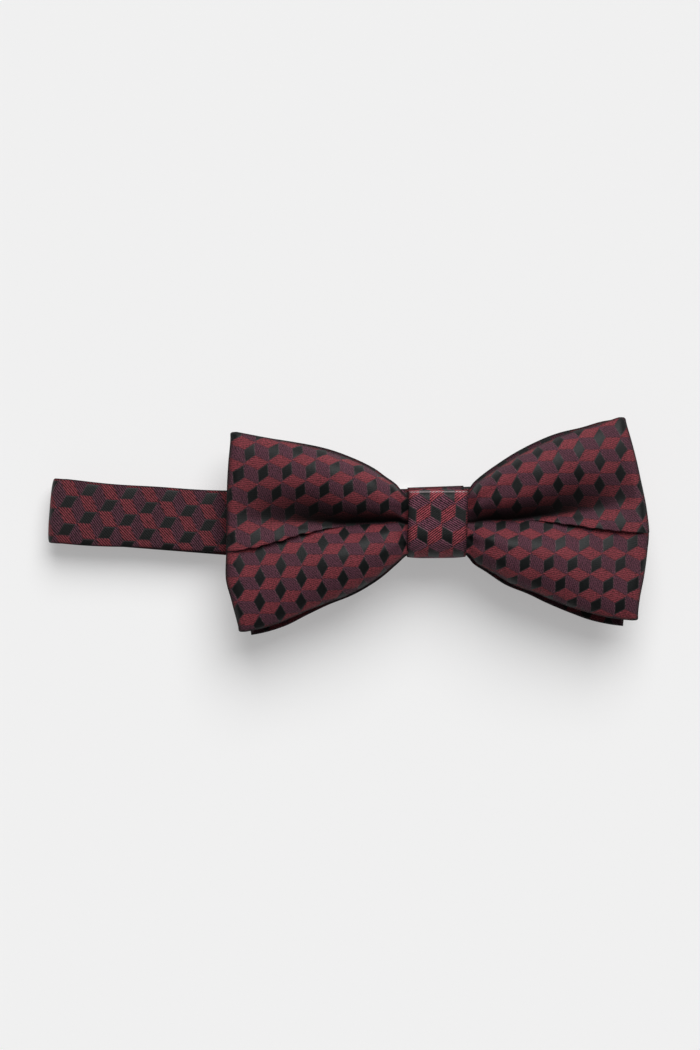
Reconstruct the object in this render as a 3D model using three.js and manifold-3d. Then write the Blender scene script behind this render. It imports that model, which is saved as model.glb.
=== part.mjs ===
// Ready-tied bow tie with an adjustable neck band, lying flat with the band folded double behind the bow.
// Millimetres, +X along the bow, +Y towards the bow's top edge, +Z up. The origin is on the resting plane,
// straight under the middle of the knot.
import * as THREE from 'three';
import { mergeVertices } from 'three/addons/utils/BufferGeometryUtils.js';
import Module from 'manifold-3d';

const wasm = await Module();
wasm.setup();

// ---- Driving dimensions -------------------------------------------------------------------------------
const CLEAR = 0.3; // gap between pieces that touch

const BOW_LENGTH = 120; // tip to tip, at mid height
const BOW_HEIGHT = 57.4; // corner to corner of the front bow
const CORNER_INSET = 3; // how far a wing's corners lie inside its mid point
const WING_LOOP_RADIUS = 2.4; // turn of the loop at a wing's outer edge
const WING_PUFF = 6; // how far the front of a wing bulges
const WING_FLARE = 0.48; // power of the wings' outline; less flares sooner
const WING_DROOP = 1.6; // how far the wing tips sink below the knot
const REAR_BOW_LENGTH = 112;
const REAR_BOW_DROP = 1; // how far the rear bow sits lower than the front bow
const CLOTH = 0.3; // silk, one layer
const PLY = 1.6; // silk, interlining, silk

const KNOT_WIDTH = 16.8; // along the bow
const KNOT_HEIGHT = 18.6; // across the bow
const KNOT_CORNER = 3.6; // corner radius of the wrap seen from the side
const KNOT_CLOTH = 0.6;
const KNOT_PADDING = 0.5;
const KNOT_TURN = -3.5; // degrees, the wrap sits a little askew
const BINDING_THREAD = 0.5;
const BINDING_WIDTH = 3;
const STITCH_THREAD = 0.3;

const BAND_WIDTH = 17.6;
const BAND_THICKNESS = 1.6;
const BAND_MID_Y = 1.2; // the band's middle line at the knot
const BAND_LEFT = 107; // knot to the left fold
const BAND_RIGHT = 52.8; // knot to the right fold
const BAND_SWEEP = 6.2; // how far the left end curves towards the bow's top edge
const LEFT_TAIL_ANGLE = -6.5; // degrees, the folded-under length of the left side
const LEFT_TAIL = 79.5; // left fold to the hook's bar
const RIGHT_TAIL = 57; // right fold to the end of the cover at the eye
const SLIDER_FROM_HOOK = 20;
const SLIDER_LENGTH = 10.6;

const KEEPER_CLOTH = 0.4;
const KEEPER_LENGTH = 12;

const METAL = 0.8; // thickness of the clasp's and slider's bars
const HARDWARE_SIDE = 1; // width of a side arm
const END_CLOTH = 0.45; // turned band end
const END_WIDTH = BAND_WIDTH - 2; // the turned ends are narrower than the band
const END_LAP = 6; // how far a turned end lies back over the band
const HOOK_LENGTH = 8;
const HOOK_MOUTH = 1.15;
const HOOK_TONGUE = 8;
const EYE_LOOP = 3.6;

// ---- Levels, stacked from the resting plane up ----------------------------------------------------------
const HALF_BAND = BAND_THICKNESS / 2;
const END_TURN = (BAND_THICKNESS + CLEAR + END_CLOTH) / 2; // turned end, middle radius
const RIGHT_TAIL_Z = HALF_BAND;
const EYE_Z = END_CLOTH / 2 + END_TURN;
const LEFT_TAIL_Z = EYE_Z + END_TURN + END_CLOTH / 2 + CLEAR + HALF_BAND + 0.05;
const RETURN_Z = LEFT_TAIL_Z + BAND_THICKNESS + CLEAR;
const SLIDER_BAR_Z = RETURN_Z - HALF_BAND + END_CLOTH / 2 + END_TURN;
const UPPER_BAND_Z = SLIDER_BAR_Z + END_TURN + END_CLOTH / 2 + CLEAR + HALF_BAND + 0.05;
const KEEPER_TOP = UPPER_BAND_Z + HALF_BAND + CLEAR + KEEPER_CLOTH;
const KEEPER_BOTTOM = UPPER_BAND_Z - HALF_BAND - CLEAR - KEEPER_CLOTH;
const STITCH_Z = KEEPER_TOP + CLEAR + STITCH_THREAD / 2;
const KNOT_BOTTOM = STITCH_Z + STITCH_THREAD / 2 + CLEAR;
const BINDING_BOTTOM = KNOT_BOTTOM + KNOT_CLOTH + CLEAR + KNOT_PADDING + CLEAR;
const REAR_Z = BINDING_BOTTOM + BINDING_THREAD + CLEAR + PLY / 2;
const BACK_Z = REAR_Z + PLY + CLEAR;
const FRONT_Z = BACK_Z + PLY + CLEAR;
const BINDING_TOP = FRONT_Z + PLY / 2 + CLEAR + BINDING_THREAD;
const KNOT_TOP = BINDING_TOP + CLEAR + KNOT_PADDING + CLEAR + KNOT_CLOTH;

// ---- Materials ------------------------------------------------------------------------------------------
const material = (color, roughness, metalness = 0) =>
  new THREE.MeshStandardMaterial({ color, roughness, metalness });
const SILK = material(0x6d2a35, 0.55);
const BAND_SILK = material(0x5e2a33, 0.6);
const INTERLINING = material(0xd8d2c6, 0.9);
const THREAD = material(0x1d1518, 0.8);
const NICKEL = material(0xb9b7b2, 0.3, 1);

// ---- Geometry helpers -----------------------------------------------------------------------------------
const rad = THREE.MathUtils.degToRad;
const lerp = THREE.MathUtils.lerp;
const smooth = (t) => THREE.MathUtils.smoothstep(t, 0, 1);

// Builds one mesh geometry from points and quads, turned so that its faces point out.
function bodyFrom(points, quads) {
  const index = [];
  for (const [a, b, c, d] of quads) {
    index.push(a, b, c, a, c, d);
  }
  let volume = 0;
  for (let i = 0; i < index.length; i += 3) {
    const [a, b, c] = [points[index[i]], points[index[i + 1]], points[index[i + 2]]];
    volume += a.dot(new THREE.Vector3().crossVectors(b, c));
  }
  if (volume < 0) {
    index.reverse();
  }
  const geometry = new THREE.BufferGeometry();
  geometry.setAttribute('position', new THREE.Float32BufferAttribute(points.flatMap((p) => p.toArray()), 3));
  geometry.setIndex(index);
  return geometry;
}

// Skin of quads over a row of rings, each ring a closed list of the same number of points.
function skin(rings, first, flip) {
  const around = rings[0].length;
  const quads = [];
  for (let i = 0; i + 1 < rings.length; i += 1) {
    for (let k = 0; k < around; k += 1) {
      const next = (k + 1) % around;
      const row = first + i * around;
      const [a, b, c, d] = [row + k, row + next, row + around + next, row + around + k];
      quads.push(flip ? [a, d, c, b] : [a, b, c, d]);
    }
  }
  return quads;
}

// Solid through rings whose first half runs one way across and whose second half runs back.
function solid(rings) {
  const around = rings[0].length;
  const quads = skin(rings, 0, false);
  const last = (rings.length - 1) * around;
  for (let k = 0; k + 1 < around / 2; k += 1) {
    const back = around - 1 - k;
    quads.push([back, back - 1, k + 1, k]);
    quads.push([last + k, last + k + 1, last + back - 1, last + back]);
  }
  return bodyFrom(rings.flat(), quads);
}

// Sleeve: an outer skin and an inner skin, open at both ends.
function sleeve(outer, inner) {
  const around = outer[0].length;
  const inside = outer.length * around;
  const last = (outer.length - 1) * around;
  const quads = [...skin(outer, 0, false), ...skin(inner, inside, true)];
  for (let k = 0; k < around; k += 1) {
    const next = (k + 1) % around;
    quads.push([k, inside + k, inside + next, next]);
    quads.push([last + k, last + next, inside + last + next, inside + last + k]);
  }
  return bodyFrom([...outer, ...inner].flat(), quads);
}

// The same geometry as a manifold solid, for cutting and joining.
function toManifold(geometry) {
  const plain = geometry.clone();
  plain.deleteAttribute('normal');
  plain.deleteAttribute('uv');
  const merged = mergeVertices(plain, 1e-5);
  return new wasm.Manifold(
    new wasm.Mesh({
      numProp: 3,
      vertProperties: new Float32Array(merged.attributes.position.array),
      triVerts: new Uint32Array(merged.index.array),
    }),
  );
}

function fromManifold(body) {
  const mesh = body.getMesh();
  const geometry = new THREE.BufferGeometry();
  geometry.setAttribute('position', new THREE.Float32BufferAttribute(mesh.vertProperties, 3));
  geometry.setIndex([...mesh.triVerts]);
  return geometry;
}

const join = (...parts) => fromManifold(parts.map(toManifold).reduce((all, part) => all.add(part)));
const cut = (body, ...tools) =>
  fromManifold(tools.map(toManifold).reduce((all, tool) => all.subtract(tool), toManifold(body)));

// Box between two corners.
function box(low, high) {
  const size = high.map((value, i) => value - low[i]);
  const middle = high.map((value, i) => (value + low[i]) / 2);
  return new THREE.BoxGeometry(...size).translate(...middle);
}

// Flat outline in the XZ plane, extruded along Y to both sides of the middle.
function alongY(shape, width) {
  const geometry = new THREE.ExtrudeGeometry(shape, { depth: width, bevelEnabled: false, curveSegments: 8 });
  return geometry.rotateX(Math.PI / 2).translate(0, width / 2, 0);
}

// Outline in the YZ plane, extruded along X to both sides of the middle.
function alongX(shape, width) {
  const geometry = new THREE.ExtrudeGeometry(shape, { depth: width, bevelEnabled: false, curveSegments: 8 });
  return geometry.rotateY(Math.PI / 2).rotateX(Math.PI / 2).translate(-width / 2, 0, 0);
}

const mesh = (name, geometry, look) => {
  const made = new THREE.Mesh(geometry, look.clone());
  made.name = name;
  return made;
};

// ---- Bow ------------------------------------------------------------------------------------------------
// Half heights where the thread gathers the bow, and where the wrap's padding holds it.
const WRAP_DEPTH = KNOT_CLOTH + KNOT_PADDING + 2 * CLEAR;
const PINCH = KNOT_HEIGHT / 2 - WRAP_DEPTH - BINDING_THREAD - 2 * CLEAR;
const KNOT_LEAN = (KNOT_WIDTH / 2) * Math.sin(Math.abs(rad(KNOT_TURN)));
const KNOT_FILL = KNOT_HEIGHT / 2 - WRAP_DEPTH - KNOT_LEAN - CLEAR;
const KNOT_EDGE = KNOT_WIDTH / 2 + 4 * CLEAR;
const WING_TIP = BOW_LENGTH / 2 - WING_LOOP_RADIUS;

// Half height of the bow at a distance from its middle: gathered under the knot, then a power curve that
// flares out to the corners.
function halfHeight(x) {
  const flare = (x - KNOT_EDGE) / (BOW_LENGTH / 2 - CORNER_INSET - KNOT_EDGE);
  if (flare > 0) {
    return lerp(KNOT_FILL, BOW_HEIGHT / 2, flare ** WING_FLARE);
  }
  const gather = BINDING_WIDTH / 2 + CLEAR;
  return lerp(PINCH, KNOT_FILL, smooth((x - gather) / (KNOT_EDGE - gather)));
}

const BACK_JOIN = 1; // gap between the loop's ends behind the knot

// Gap between the middles of the front and back plies; u runs from the knot to the edge, v across.
function loopGap(u, v) {
  const outside = THREE.MathUtils.clamp((u * WING_TIP - KNOT_EDGE) / (WING_TIP - KNOT_EDGE), 0, 1);
  const swell = smooth(outside / 0.35) * (1 - outside ** 3);
  const valley = lerp(0.75, 0.15, outside) * Math.exp(-((v / 0.24) ** 2));
  const bulge = (1 - v ** 4) * (1 - valley);
  return lerp(PLY + CLEAR, 2 * WING_LOOP_RADIUS, smooth(outside)) + WING_PUFF * swell * bulge;
}

const backHeight = (u) => BACK_Z - WING_DROOP * u ** 2;

// Middle surface of the front bow. The loop runs from the back join over one wing, across the front and
// over the other wing to the join again: s is 0 in the middle of the front and -1 or 1 at the join.
const FRONT_SHARE = 0.55;
const TURN_SHARE = 0.12;
function loopPoint(s, v) {
  const side = Math.sign(s) || 1;
  const along = Math.abs(s);
  const tip = BOW_LENGTH / 2 - CORNER_INSET * v * v - WING_LOOP_RADIUS;
  let u = 1;
  let x = tip;
  let z = 0;
  if (along <= FRONT_SHARE) {
    u = along / FRONT_SHARE;
    x = u * tip;
    z = backHeight(u) + loopGap(u, v);
  } else if (along <= FRONT_SHARE + TURN_SHARE) {
    const angle = (Math.PI * (along - FRONT_SHARE)) / TURN_SHARE;
    x = tip + WING_LOOP_RADIUS * Math.sin(angle);
    z = backHeight(1) + WING_LOOP_RADIUS * (1 + Math.cos(angle));
  } else {
    u = 1 - (along - FRONT_SHARE - TURN_SHARE) / (1 - FRONT_SHARE - TURN_SHARE);
    x = lerp(BACK_JOIN / 2, tip, u);
    z = backHeight(u);
  }
  const midway = u * WING_TIP + Math.max(0, x - tip);
  return new THREE.Vector3(side * x, v * halfHeight(midway), z);
}

// Middle surface of the rear bow, flat behind the loop: the same outline, its wings shorter.
function rearPoint(s, v) {
  const u = Math.abs(s);
  const x = s * (REAR_BOW_LENGTH / 2 - CORNER_INSET * v * v);
  const along = (u * REAR_BOW_LENGTH) / 2;
  const outside = Math.max(0, (along - KNOT_EDGE) / (REAR_BOW_LENGTH / 2 - KNOT_EDGE));
  const matching = outside > 0 ? lerp(KNOT_EDGE, BOW_LENGTH / 2 - CORNER_INSET, outside) : along;
  const y = v * halfHeight(matching) - REAR_BOW_DROP * outside;
  return new THREE.Vector3(x, y, REAR_Z - WING_DROOP * u ** 2);
}

// Rings round a curved sheet: the surface moved both ways along its normal.
const ACROSS = [-1, -0.94, -0.75, -0.5, -0.25, 0, 0.25, 0.5, 0.75, 0.94, 1];
function sheetRings(surface, stations, thickness, inset) {
  const step = 1e-3;
  const offset = (s, share, reach, way) => {
    const v = share * reach;
    const middle = surface(s, v);
    const alongS = surface(s + step, v).sub(surface(s - step, v));
    const acrossV = surface(s, v + step).sub(surface(s, v - step));
    const normal = alongS.cross(acrossV).normalize();
    const edge = Math.abs(share) === 1 ? 0.4 : 1;
    return middle.addScaledVector(normal, (way * thickness * edge) / 2);
  };
  return stations.map((s) => {
    const half = Math.abs(surface(s, 1).y - surface(s, 0).y);
    const reach = 1 - inset / half;
    const over = ACROSS.map((share) => offset(s, share, reach, 1));
    const under = ACROSS.map((share) => offset(s, share, reach, -1)).reverse();
    return [...over, ...under];
  });
}

// Stations from the knot to a wing tip, given as shares of the way past the knot's edge.
const stationsTo = (tip, shares) =>
  [KNOT_EDGE * 0.3, KNOT_EDGE, ...shares.map((share) => lerp(KNOT_EDGE, tip, share))].map((x) => x / tip);
const FRONT_OUT = stationsTo(WING_TIP, [0.04, 0.1, 0.18, 0.3, 0.45, 0.62, 0.78, 0.9, 1]);
const FRONT_STEPS = FRONT_OUT.map((u) => u * FRONT_SHARE);
const TURN_STEPS = [0.25, 0.5, 0.75, 1].map((t) => FRONT_SHARE + t * TURN_SHARE);
const BACK_OUT = stationsTo(WING_TIP, [0.1, 0.25, 0.45, 0.75]).reverse();
const BACK_STEPS = [...BACK_OUT.map((u) => 1 - u * (1 - FRONT_SHARE - TURN_SHARE)), 1];
const HALF_LOOP = [...FRONT_STEPS, ...TURN_STEPS, ...BACK_STEPS];
const LOOP_STEPS = [...HALF_LOOP.map((s) => -s).reverse(), 0, ...HALF_LOOP];
const LINING_STEPS = LOOP_STEPS.map((s) => THREE.MathUtils.clamp(s, -0.99, 0.99));
const HALF_REAR = stationsTo(REAR_BOW_LENGTH / 2, [0.04, 0.12, 0.28, 0.55, 0.8, 1]);
const REAR_STEPS = [...HALF_REAR.map((s) => -s).reverse(), 0, ...HALF_REAR];

function frontBow() {
  const outer = sheetRings(loopPoint, LOOP_STEPS, PLY, 0);
  const inner = sheetRings(loopPoint, LOOP_STEPS, PLY - 2 * CLOTH, CLOTH);
  const lining = sheetRings(loopPoint, LINING_STEPS, PLY - 2 * CLOTH - 2 * CLEAR, CLOTH + CLEAR);
  return [
    mesh('front_bow_fabric', sleeve(outer, inner), SILK),
    mesh('front_bow_interlining', solid(lining), INTERLINING),
  ];
}

function rearBow() {
  const shorter = (share) => REAR_STEPS.map((s) => THREE.MathUtils.clamp(s, -share, share));
  const half = REAR_BOW_LENGTH / 2;
  const outer = solid(sheetRings(rearPoint, REAR_STEPS, PLY, 0));
  const hollow = solid(sheetRings(rearPoint, shorter(1 - CLOTH / half), PLY - 2 * CLOTH, CLOTH));
  const liningThickness = PLY - 2 * CLOTH - 2 * CLEAR;
  const liningReach = 1 - (CLOTH + CLEAR) / half;
  const lining = solid(sheetRings(rearPoint, shorter(liningReach), liningThickness, CLOTH + CLEAR));
  // The seam left open behind the knot, through which the layer was turned right side out.
  const opening = box([-1.5, -4, REAR_Z - PLY], [1.5, 4, REAR_Z - PLY / 2 + CLOTH + CLEAR / 2]);
  return [
    mesh('rear_bow_fabric', cut(outer, hollow, opening), SILK),
    mesh('rear_bow_interlining', lining, INTERLINING),
  ];
}

// ---- Knot -----------------------------------------------------------------------------------------------
// Rounded rectangle in the YZ plane as a list of points, from the middle of its lower side round.
function roundedLoop(halfY, low, high, corner, crown) {
  const points = [];
  const r = Math.min(corner, (high - low) / 2 - 0.1, halfY - 0.1);
  const centres = [
    [halfY - r, low + r, -90],
    [halfY - r, high - r, 0],
    [r - halfY, high - r, 90],
    [r - halfY, low + r, 180],
  ];
  centres.forEach(([y, z, start], n) => {
    for (let i = 0; i <= 4; i += 1) {
      const angle = rad(start + (90 * i) / 4);
      points.push(new THREE.Vector2(y + r * Math.cos(angle), z + r * Math.sin(angle)));
    }
    if (n === 1 && crown > 0) {
      points.push(new THREE.Vector2(0, high + crown));
    }
  });
  return points;
}

// Cloth loop of one thickness round the knot, with a slit of the given half width in its lower side.
function wrapShape(halfY, low, high, corner, crown, cloth, slit) {
  const outer = roundedLoop(halfY, low, high, corner, crown);
  const inner = roundedLoop(halfY - cloth, low + cloth, high - cloth, corner - cloth, crown);
  const lip = (z) => [new THREE.Vector2(slit, z), new THREE.Vector2(-slit, z)];
  const [outerStart, outerEnd] = lip(low);
  const [innerStart, innerEnd] = lip(low + cloth);
  return new THREE.Shape([outerStart, ...outer, outerEnd, innerEnd, ...inner.reverse(), innerStart]);
}

function ringShape(outer, inner) {
  const shape = new THREE.Shape(outer);
  shape.holes.push(new THREE.Path(inner));
  return shape;
}

const KNOT_CROWN = 0.7;
const KNOT_SLIT = 0.2;

function knot() {
  const halfY = KNOT_HEIGHT / 2;
  const wrap = wrapShape(halfY, KNOT_BOTTOM, KNOT_TOP, KNOT_CORNER, KNOT_CROWN, KNOT_CLOTH, KNOT_SLIT);
  const step = KNOT_CLOTH + CLEAR;
  const [padLow, padTop, padCorner] = [KNOT_BOTTOM + step, KNOT_TOP - step, KNOT_CORNER - step];
  const padding = wrapShape(halfY - step, padLow, padTop, padCorner, KNOT_CROWN, KNOT_PADDING, KNOT_SLIT);
  const group = new THREE.Group();
  group.rotation.z = rad(KNOT_TURN);
  group.add(mesh('knot_wrap', alongX(wrap, KNOT_WIDTH), SILK));
  group.add(mesh('knot_interlining', alongX(padding, KNOT_WIDTH - 1), INTERLINING));
  group.add(mesh('knot_closing_stitches', stitchRow(KNOT_WIDTH - 4, 1.8, 3, STITCH_Z), THREAD));
  return group;
}

// Middle line of a row of stitches lying flat: a wave so long in X and so wide in Y.
class StitchLine extends THREE.Curve {
  constructor(length, width, waves, height) {
    super();
    Object.assign(this, { length, width, waves, height });
  }

  getPoint(t, target = new THREE.Vector3()) {
    const across = (this.width / 2) * Math.sin(2 * Math.PI * this.waves * t);
    return target.set(this.length * (t - 0.5), across, this.height);
  }
}

function stitchRow(length, width, waves, height) {
  const corner = (k) => new THREE.Vector2(Math.cos((k * Math.PI) / 3), Math.sin((k * Math.PI) / 3));
  const section = new THREE.Shape([0, 1, 2, 3, 4, 5].map((k) => corner(k).multiplyScalar(STITCH_THREAD / 2)));
  const extrudePath = new StitchLine(length, width, waves, height);
  return new THREE.ExtrudeGeometry(section, { steps: waves * 12, extrudePath });
}

function binding() {
  const halfY = PINCH + CLEAR + BINDING_THREAD;
  const outer = roundedLoop(halfY, BINDING_BOTTOM, BINDING_TOP, 1, 0);
  const inner = roundedLoop(
    halfY - BINDING_THREAD,
    BINDING_BOTTOM + BINDING_THREAD,
    BINDING_TOP - BINDING_THREAD,
    1 - BINDING_THREAD,
    0,
  );
  return mesh('centre_binding_thread', alongX(ringShape(outer, inner), BINDING_WIDTH), THREAD);
}

function keeper() {
  const halfY = BAND_WIDTH / 2 + CLEAR + KEEPER_CLOTH;
  const outer = roundedLoop(halfY, KEEPER_BOTTOM, KEEPER_TOP, 1.2, 0);
  const inner = roundedLoop(
    halfY - KEEPER_CLOTH,
    KEEPER_BOTTOM + KEEPER_CLOTH,
    KEEPER_TOP - KEEPER_CLOTH,
    1.2 - KEEPER_CLOTH,
    0,
  );
  const loop = mesh('band_keeper', alongX(ringShape(outer, inner), KEEPER_LENGTH), SILK);
  loop.position.y = BAND_MID_Y;
  return loop;
}

// ---- Neck band --------------------------------------------------------------------------------------------
// Rings of a flat strap with eased edges along stations of centre, side and up vectors.
function strapRings(stations, width, thickness) {
  const section = [
    [-1, 0.4],
    [-0.95, 1],
    [0.95, 1],
    [1, 0.4],
  ];
  const place = (station, [across, up], way) =>
    station.centre
      .clone()
      .addScaledVector(station.side, (across * width) / 2)
      .addScaledVector(station.up, (way * up * thickness) / 2);
  return stations.map((station) => [
    ...section.map((corner) => place(station, corner, 1)),
    ...[...section].reverse().map((corner) => place(station, corner, -1)),
  ]);
}

const cover = (name, stations) =>
  mesh(
    name,
    sleeve(
      strapRings(stations, BAND_WIDTH, BAND_THICKNESS),
      strapRings(stations, BAND_WIDTH - 2 * CLOTH, BAND_THICKNESS - 2 * CLOTH),
    ),
    BAND_SILK,
  );

const lining = (name, stations) => {
  const less = 2 * (CLOTH + CLEAR);
  return mesh(name, solid(strapRings(stations, BAND_WIDTH - less, BAND_THICKNESS - less)), INTERLINING);
};

const UP = new THREE.Vector3(0, 0, 1);
const straight = (from, to, z) =>
  [from, to].map((x) => ({ centre: new THREE.Vector3(x, 0, z), side: new THREE.Vector3(0, 1, 0), up: UP }));

// Half turn about the Y axis direction, bulging towards -X, from the upper level to the lower one.
function halfTurn(x, high, low) {
  const radius = (high - low) / 2;
  const steps = 8;
  return Array.from({ length: steps + 1 }, (_, i) => {
    const angle = (Math.PI * i) / steps;
    const out = new THREE.Vector3(-Math.sin(angle), 0, Math.cos(angle));
    const centre = new THREE.Vector3(x, 0, (high + low) / 2).addScaledVector(out, radius);
    return { centre, side: new THREE.Vector3(0, 1, 0), up: out };
  });
}

// The band's middle line: level on the right, swept towards the bow's top edge on the left.
function bandStation(x) {
  const share = Math.min(x, 0) / BAND_LEFT;
  const y = BAND_MID_Y + BAND_SWEEP * share * share;
  const slope = (2 * BAND_SWEEP * share) / BAND_LEFT;
  const side = new THREE.Vector3(-slope, 1, 0).normalize();
  return { centre: new THREE.Vector3(x, y, UPPER_BAND_Z), side, up: UP };
}

const FOLD_GAP = CLEAR; // between the band's lengths and its folds

function upperBand() {
  const stops = [-1, -0.88, -0.74, -0.6, -0.44, -0.26, 0].map((share) => share * BAND_LEFT);
  const clamp = THREE.MathUtils.clamp;
  const ends = (gap) => [...stops, BAND_RIGHT].map((x) => clamp(x, gap - BAND_LEFT, BAND_RIGHT - gap));
  return [
    cover('upper_band_cover', ends(FOLD_GAP).map(bandStation)),
    lining('upper_band_interlining', ends(FOLD_GAP + CLEAR).map(bandStation)),
  ];
}

// Band end turned round a bar: level with the band below, round the bar and back over it.
// The bar's axis is at x = 0, and the band lies on the +X side.
function turnedEnd(name, barZ) {
  const middle = END_TURN;
  const [inner, outer] = [middle - END_CLOTH / 2, middle + END_CLOTH / 2];
  const shape = new THREE.Shape();
  const foot = middle + CLEAR;
  shape.moveTo(foot, -outer);
  shape.lineTo(0, -outer);
  shape.absarc(0, 0, outer, -Math.PI / 2, Math.PI / 2, true);
  shape.lineTo(foot + END_LAP, outer);
  shape.lineTo(foot + END_LAP, inner);
  shape.lineTo(0, inner);
  shape.absarc(0, 0, inner, Math.PI / 2, -Math.PI / 2, false);
  shape.lineTo(foot, -inner);
  return mesh(name, alongY(shape, END_WIDTH).translate(0, 0, barZ), BAND_SILK);
}

const END_FOOT = END_TURN + 2 * CLEAR; // bar to the end of the band that meets the turned end
const TACK_FROM_BAR = END_TURN + CLEAR + END_LAP + CLEAR; // bar to the tack along the raw edge

function bartack(name, z) {
  return mesh(name, box([0, -(BAND_WIDTH / 2 - 3), z], [1.2, BAND_WIDTH / 2 - 3, z + STITCH_THREAD]), THREAD);
}

// Rectangular eye, its long bar at x = 0 inside the turned end and the open side towards -X.
function claspEye() {
  const halfY = END_WIDTH / 2 + HARDWARE_SIDE + CLEAR;
  const frame = box([-EYE_LOOP - 1.5 * METAL, -halfY, -METAL / 2], [METAL / 2, halfY, METAL / 2]);
  const hole = box(
    [-EYE_LOOP - METAL / 2, HARDWARE_SIDE - halfY, -METAL],
    [-METAL / 2, halfY - HARDWARE_SIDE, METAL],
  );
  return mesh('clasp_eye', cut(frame, hole), NICKEL);
}

// Hook: a bar at x = 0 for the band, two arms, a cross plate and a tongue bent back under it.
function claspHook() {
  const halfY = BAND_WIDTH / 2 + HARDWARE_SIDE + CLEAR;
  const half = METAL / 2;
  const plateAt = 2.6;
  const bar = box([-half, -halfY, -half], [half, halfY, half]);
  const arm = (side) => {
    const ends = [side * halfY, side * (halfY - HARDWARE_SIDE)].sort((a, b) => a - b);
    return box([-half, ends[0], -half], [plateAt + 0.2, ends[1], half]);
  };
  const plate = box([plateAt, -halfY, -half], [plateAt + 2, halfY, half]);
  const bend = (HOOK_MOUTH + METAL) / 2;
  const tongue = new THREE.Shape();
  const nose = HOOK_LENGTH - bend - half;
  tongue.moveTo(plateAt + 1, half);
  tongue.lineTo(nose, half);
  tongue.absarc(nose, -bend, bend + half, Math.PI / 2, -Math.PI / 2, true);
  tongue.lineTo(plateAt + 0.6, -2 * bend - half);
  tongue.lineTo(plateAt + 0.6, -2 * bend + half);
  tongue.lineTo(nose, -2 * bend + half);
  tongue.absarc(nose, -bend, bend - half, -Math.PI / 2, Math.PI / 2, false);
  tongue.lineTo(plateAt + 1, -half);
  return mesh('clasp_hook', join(bar, arm(1), arm(-1), plate, alongY(tongue, HOOK_TONGUE)), NICKEL);
}

// Slider: a bowed frame. The band runs over its two side bars and under its middle bar.
function sliderFrame() {
  const halfX = SLIDER_LENGTH / 2;
  const inside = BAND_WIDTH / 2 + CLEAR;
  const halfY = inside + HARDWARE_SIDE;
  const top = SLIDER_BAR_Z + METAL / 2;
  const low = LEFT_TAIL_Z - HALF_BAND - CLEAR;
  const sideBar = (side) => {
    const ends = [side * halfX, side * (halfX - HARDWARE_SIDE)].sort((a, b) => a - b);
    return box([ends[0], -halfY, 0], [ends[1], halfY, low]);
  };
  const rail = (side) => {
    const shape = new THREE.Shape();
    shape.moveTo(-halfX, 0);
    shape.lineTo(halfX, 0);
    shape.lineTo(halfX, low);
    shape.lineTo(METAL, top);
    shape.lineTo(-METAL, top);
    shape.lineTo(-halfX, low);
    return alongY(shape, HARDWARE_SIDE).translate(0, side * (inside + HARDWARE_SIDE / 2), 0);
  };
  const half = METAL / 2;
  const bar = box([-half, -halfY + 0.2, SLIDER_BAR_Z - half], [half, halfY - 0.2, SLIDER_BAR_Z + half]);
  return mesh('slider_frame', join(sideBar(1), sideBar(-1), rail(1), rail(-1), bar), NICKEL);
}

function leftTail() {
  const group = new THREE.Group();
  group.position.copy(bandStation(-BAND_LEFT).centre).setZ(0);
  group.rotation.z = rad(LEFT_TAIL_ANGLE);
  const hookBarZ = (LEFT_TAIL_Z + RETURN_Z) / 2;
  const hookRadius = (RETURN_Z - LEFT_TAIL_Z) / 2;
  const sliderX = LEFT_TAIL - SLIDER_FROM_HOOK;
  const tailEnd = LEFT_TAIL - METAL / 2 - CLEAR;
  const returnStart = sliderX + END_FOOT;
  group.add(cover('left_fold_cover', halfTurn(0, UPPER_BAND_Z, LEFT_TAIL_Z)));
  group.add(cover('left_tail_cover', straight(FOLD_GAP, tailEnd, LEFT_TAIL_Z)));
  group.add(lining('left_tail_interlining', straight(FOLD_GAP + CLEAR, tailEnd - CLEAR, LEFT_TAIL_Z)));
  group.add(cover('return_band_cover', straight(returnStart, tailEnd, RETURN_Z)));
  group.add(lining('return_band_interlining', straight(returnStart + CLEAR, tailEnd - CLEAR, RETURN_Z)));

  // The band end round the hook's bar, a half turn of thin cloth open towards the fold.
  const [inner, outer] = [hookRadius - END_CLOTH / 2, hookRadius + END_CLOTH / 2];
  const turn = new THREE.Shape();
  turn.absarc(0, 0, outer, -Math.PI / 2, Math.PI / 2, false);
  turn.absarc(0, 0, inner, Math.PI / 2, -Math.PI / 2, true);
  const hookTurn = mesh('hook_turn', alongY(turn, BAND_WIDTH - 1), BAND_SILK);
  hookTurn.position.set(LEFT_TAIL, 0, hookBarZ);
  group.add(hookTurn);

  const hook = claspHook();
  hook.position.set(LEFT_TAIL, 0, hookBarZ);
  group.add(hook);

  const frame = sliderFrame();
  frame.position.x = sliderX;
  const turned = turnedEnd('slider_turn', SLIDER_BAR_Z);
  turned.position.x = sliderX;
  const tack = bartack('slider_bartack', RETURN_Z + HALF_BAND + CLEAR);
  tack.position.x = sliderX + TACK_FROM_BAR;
  group.add(frame, turned, tack);
  return group;
}

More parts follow.
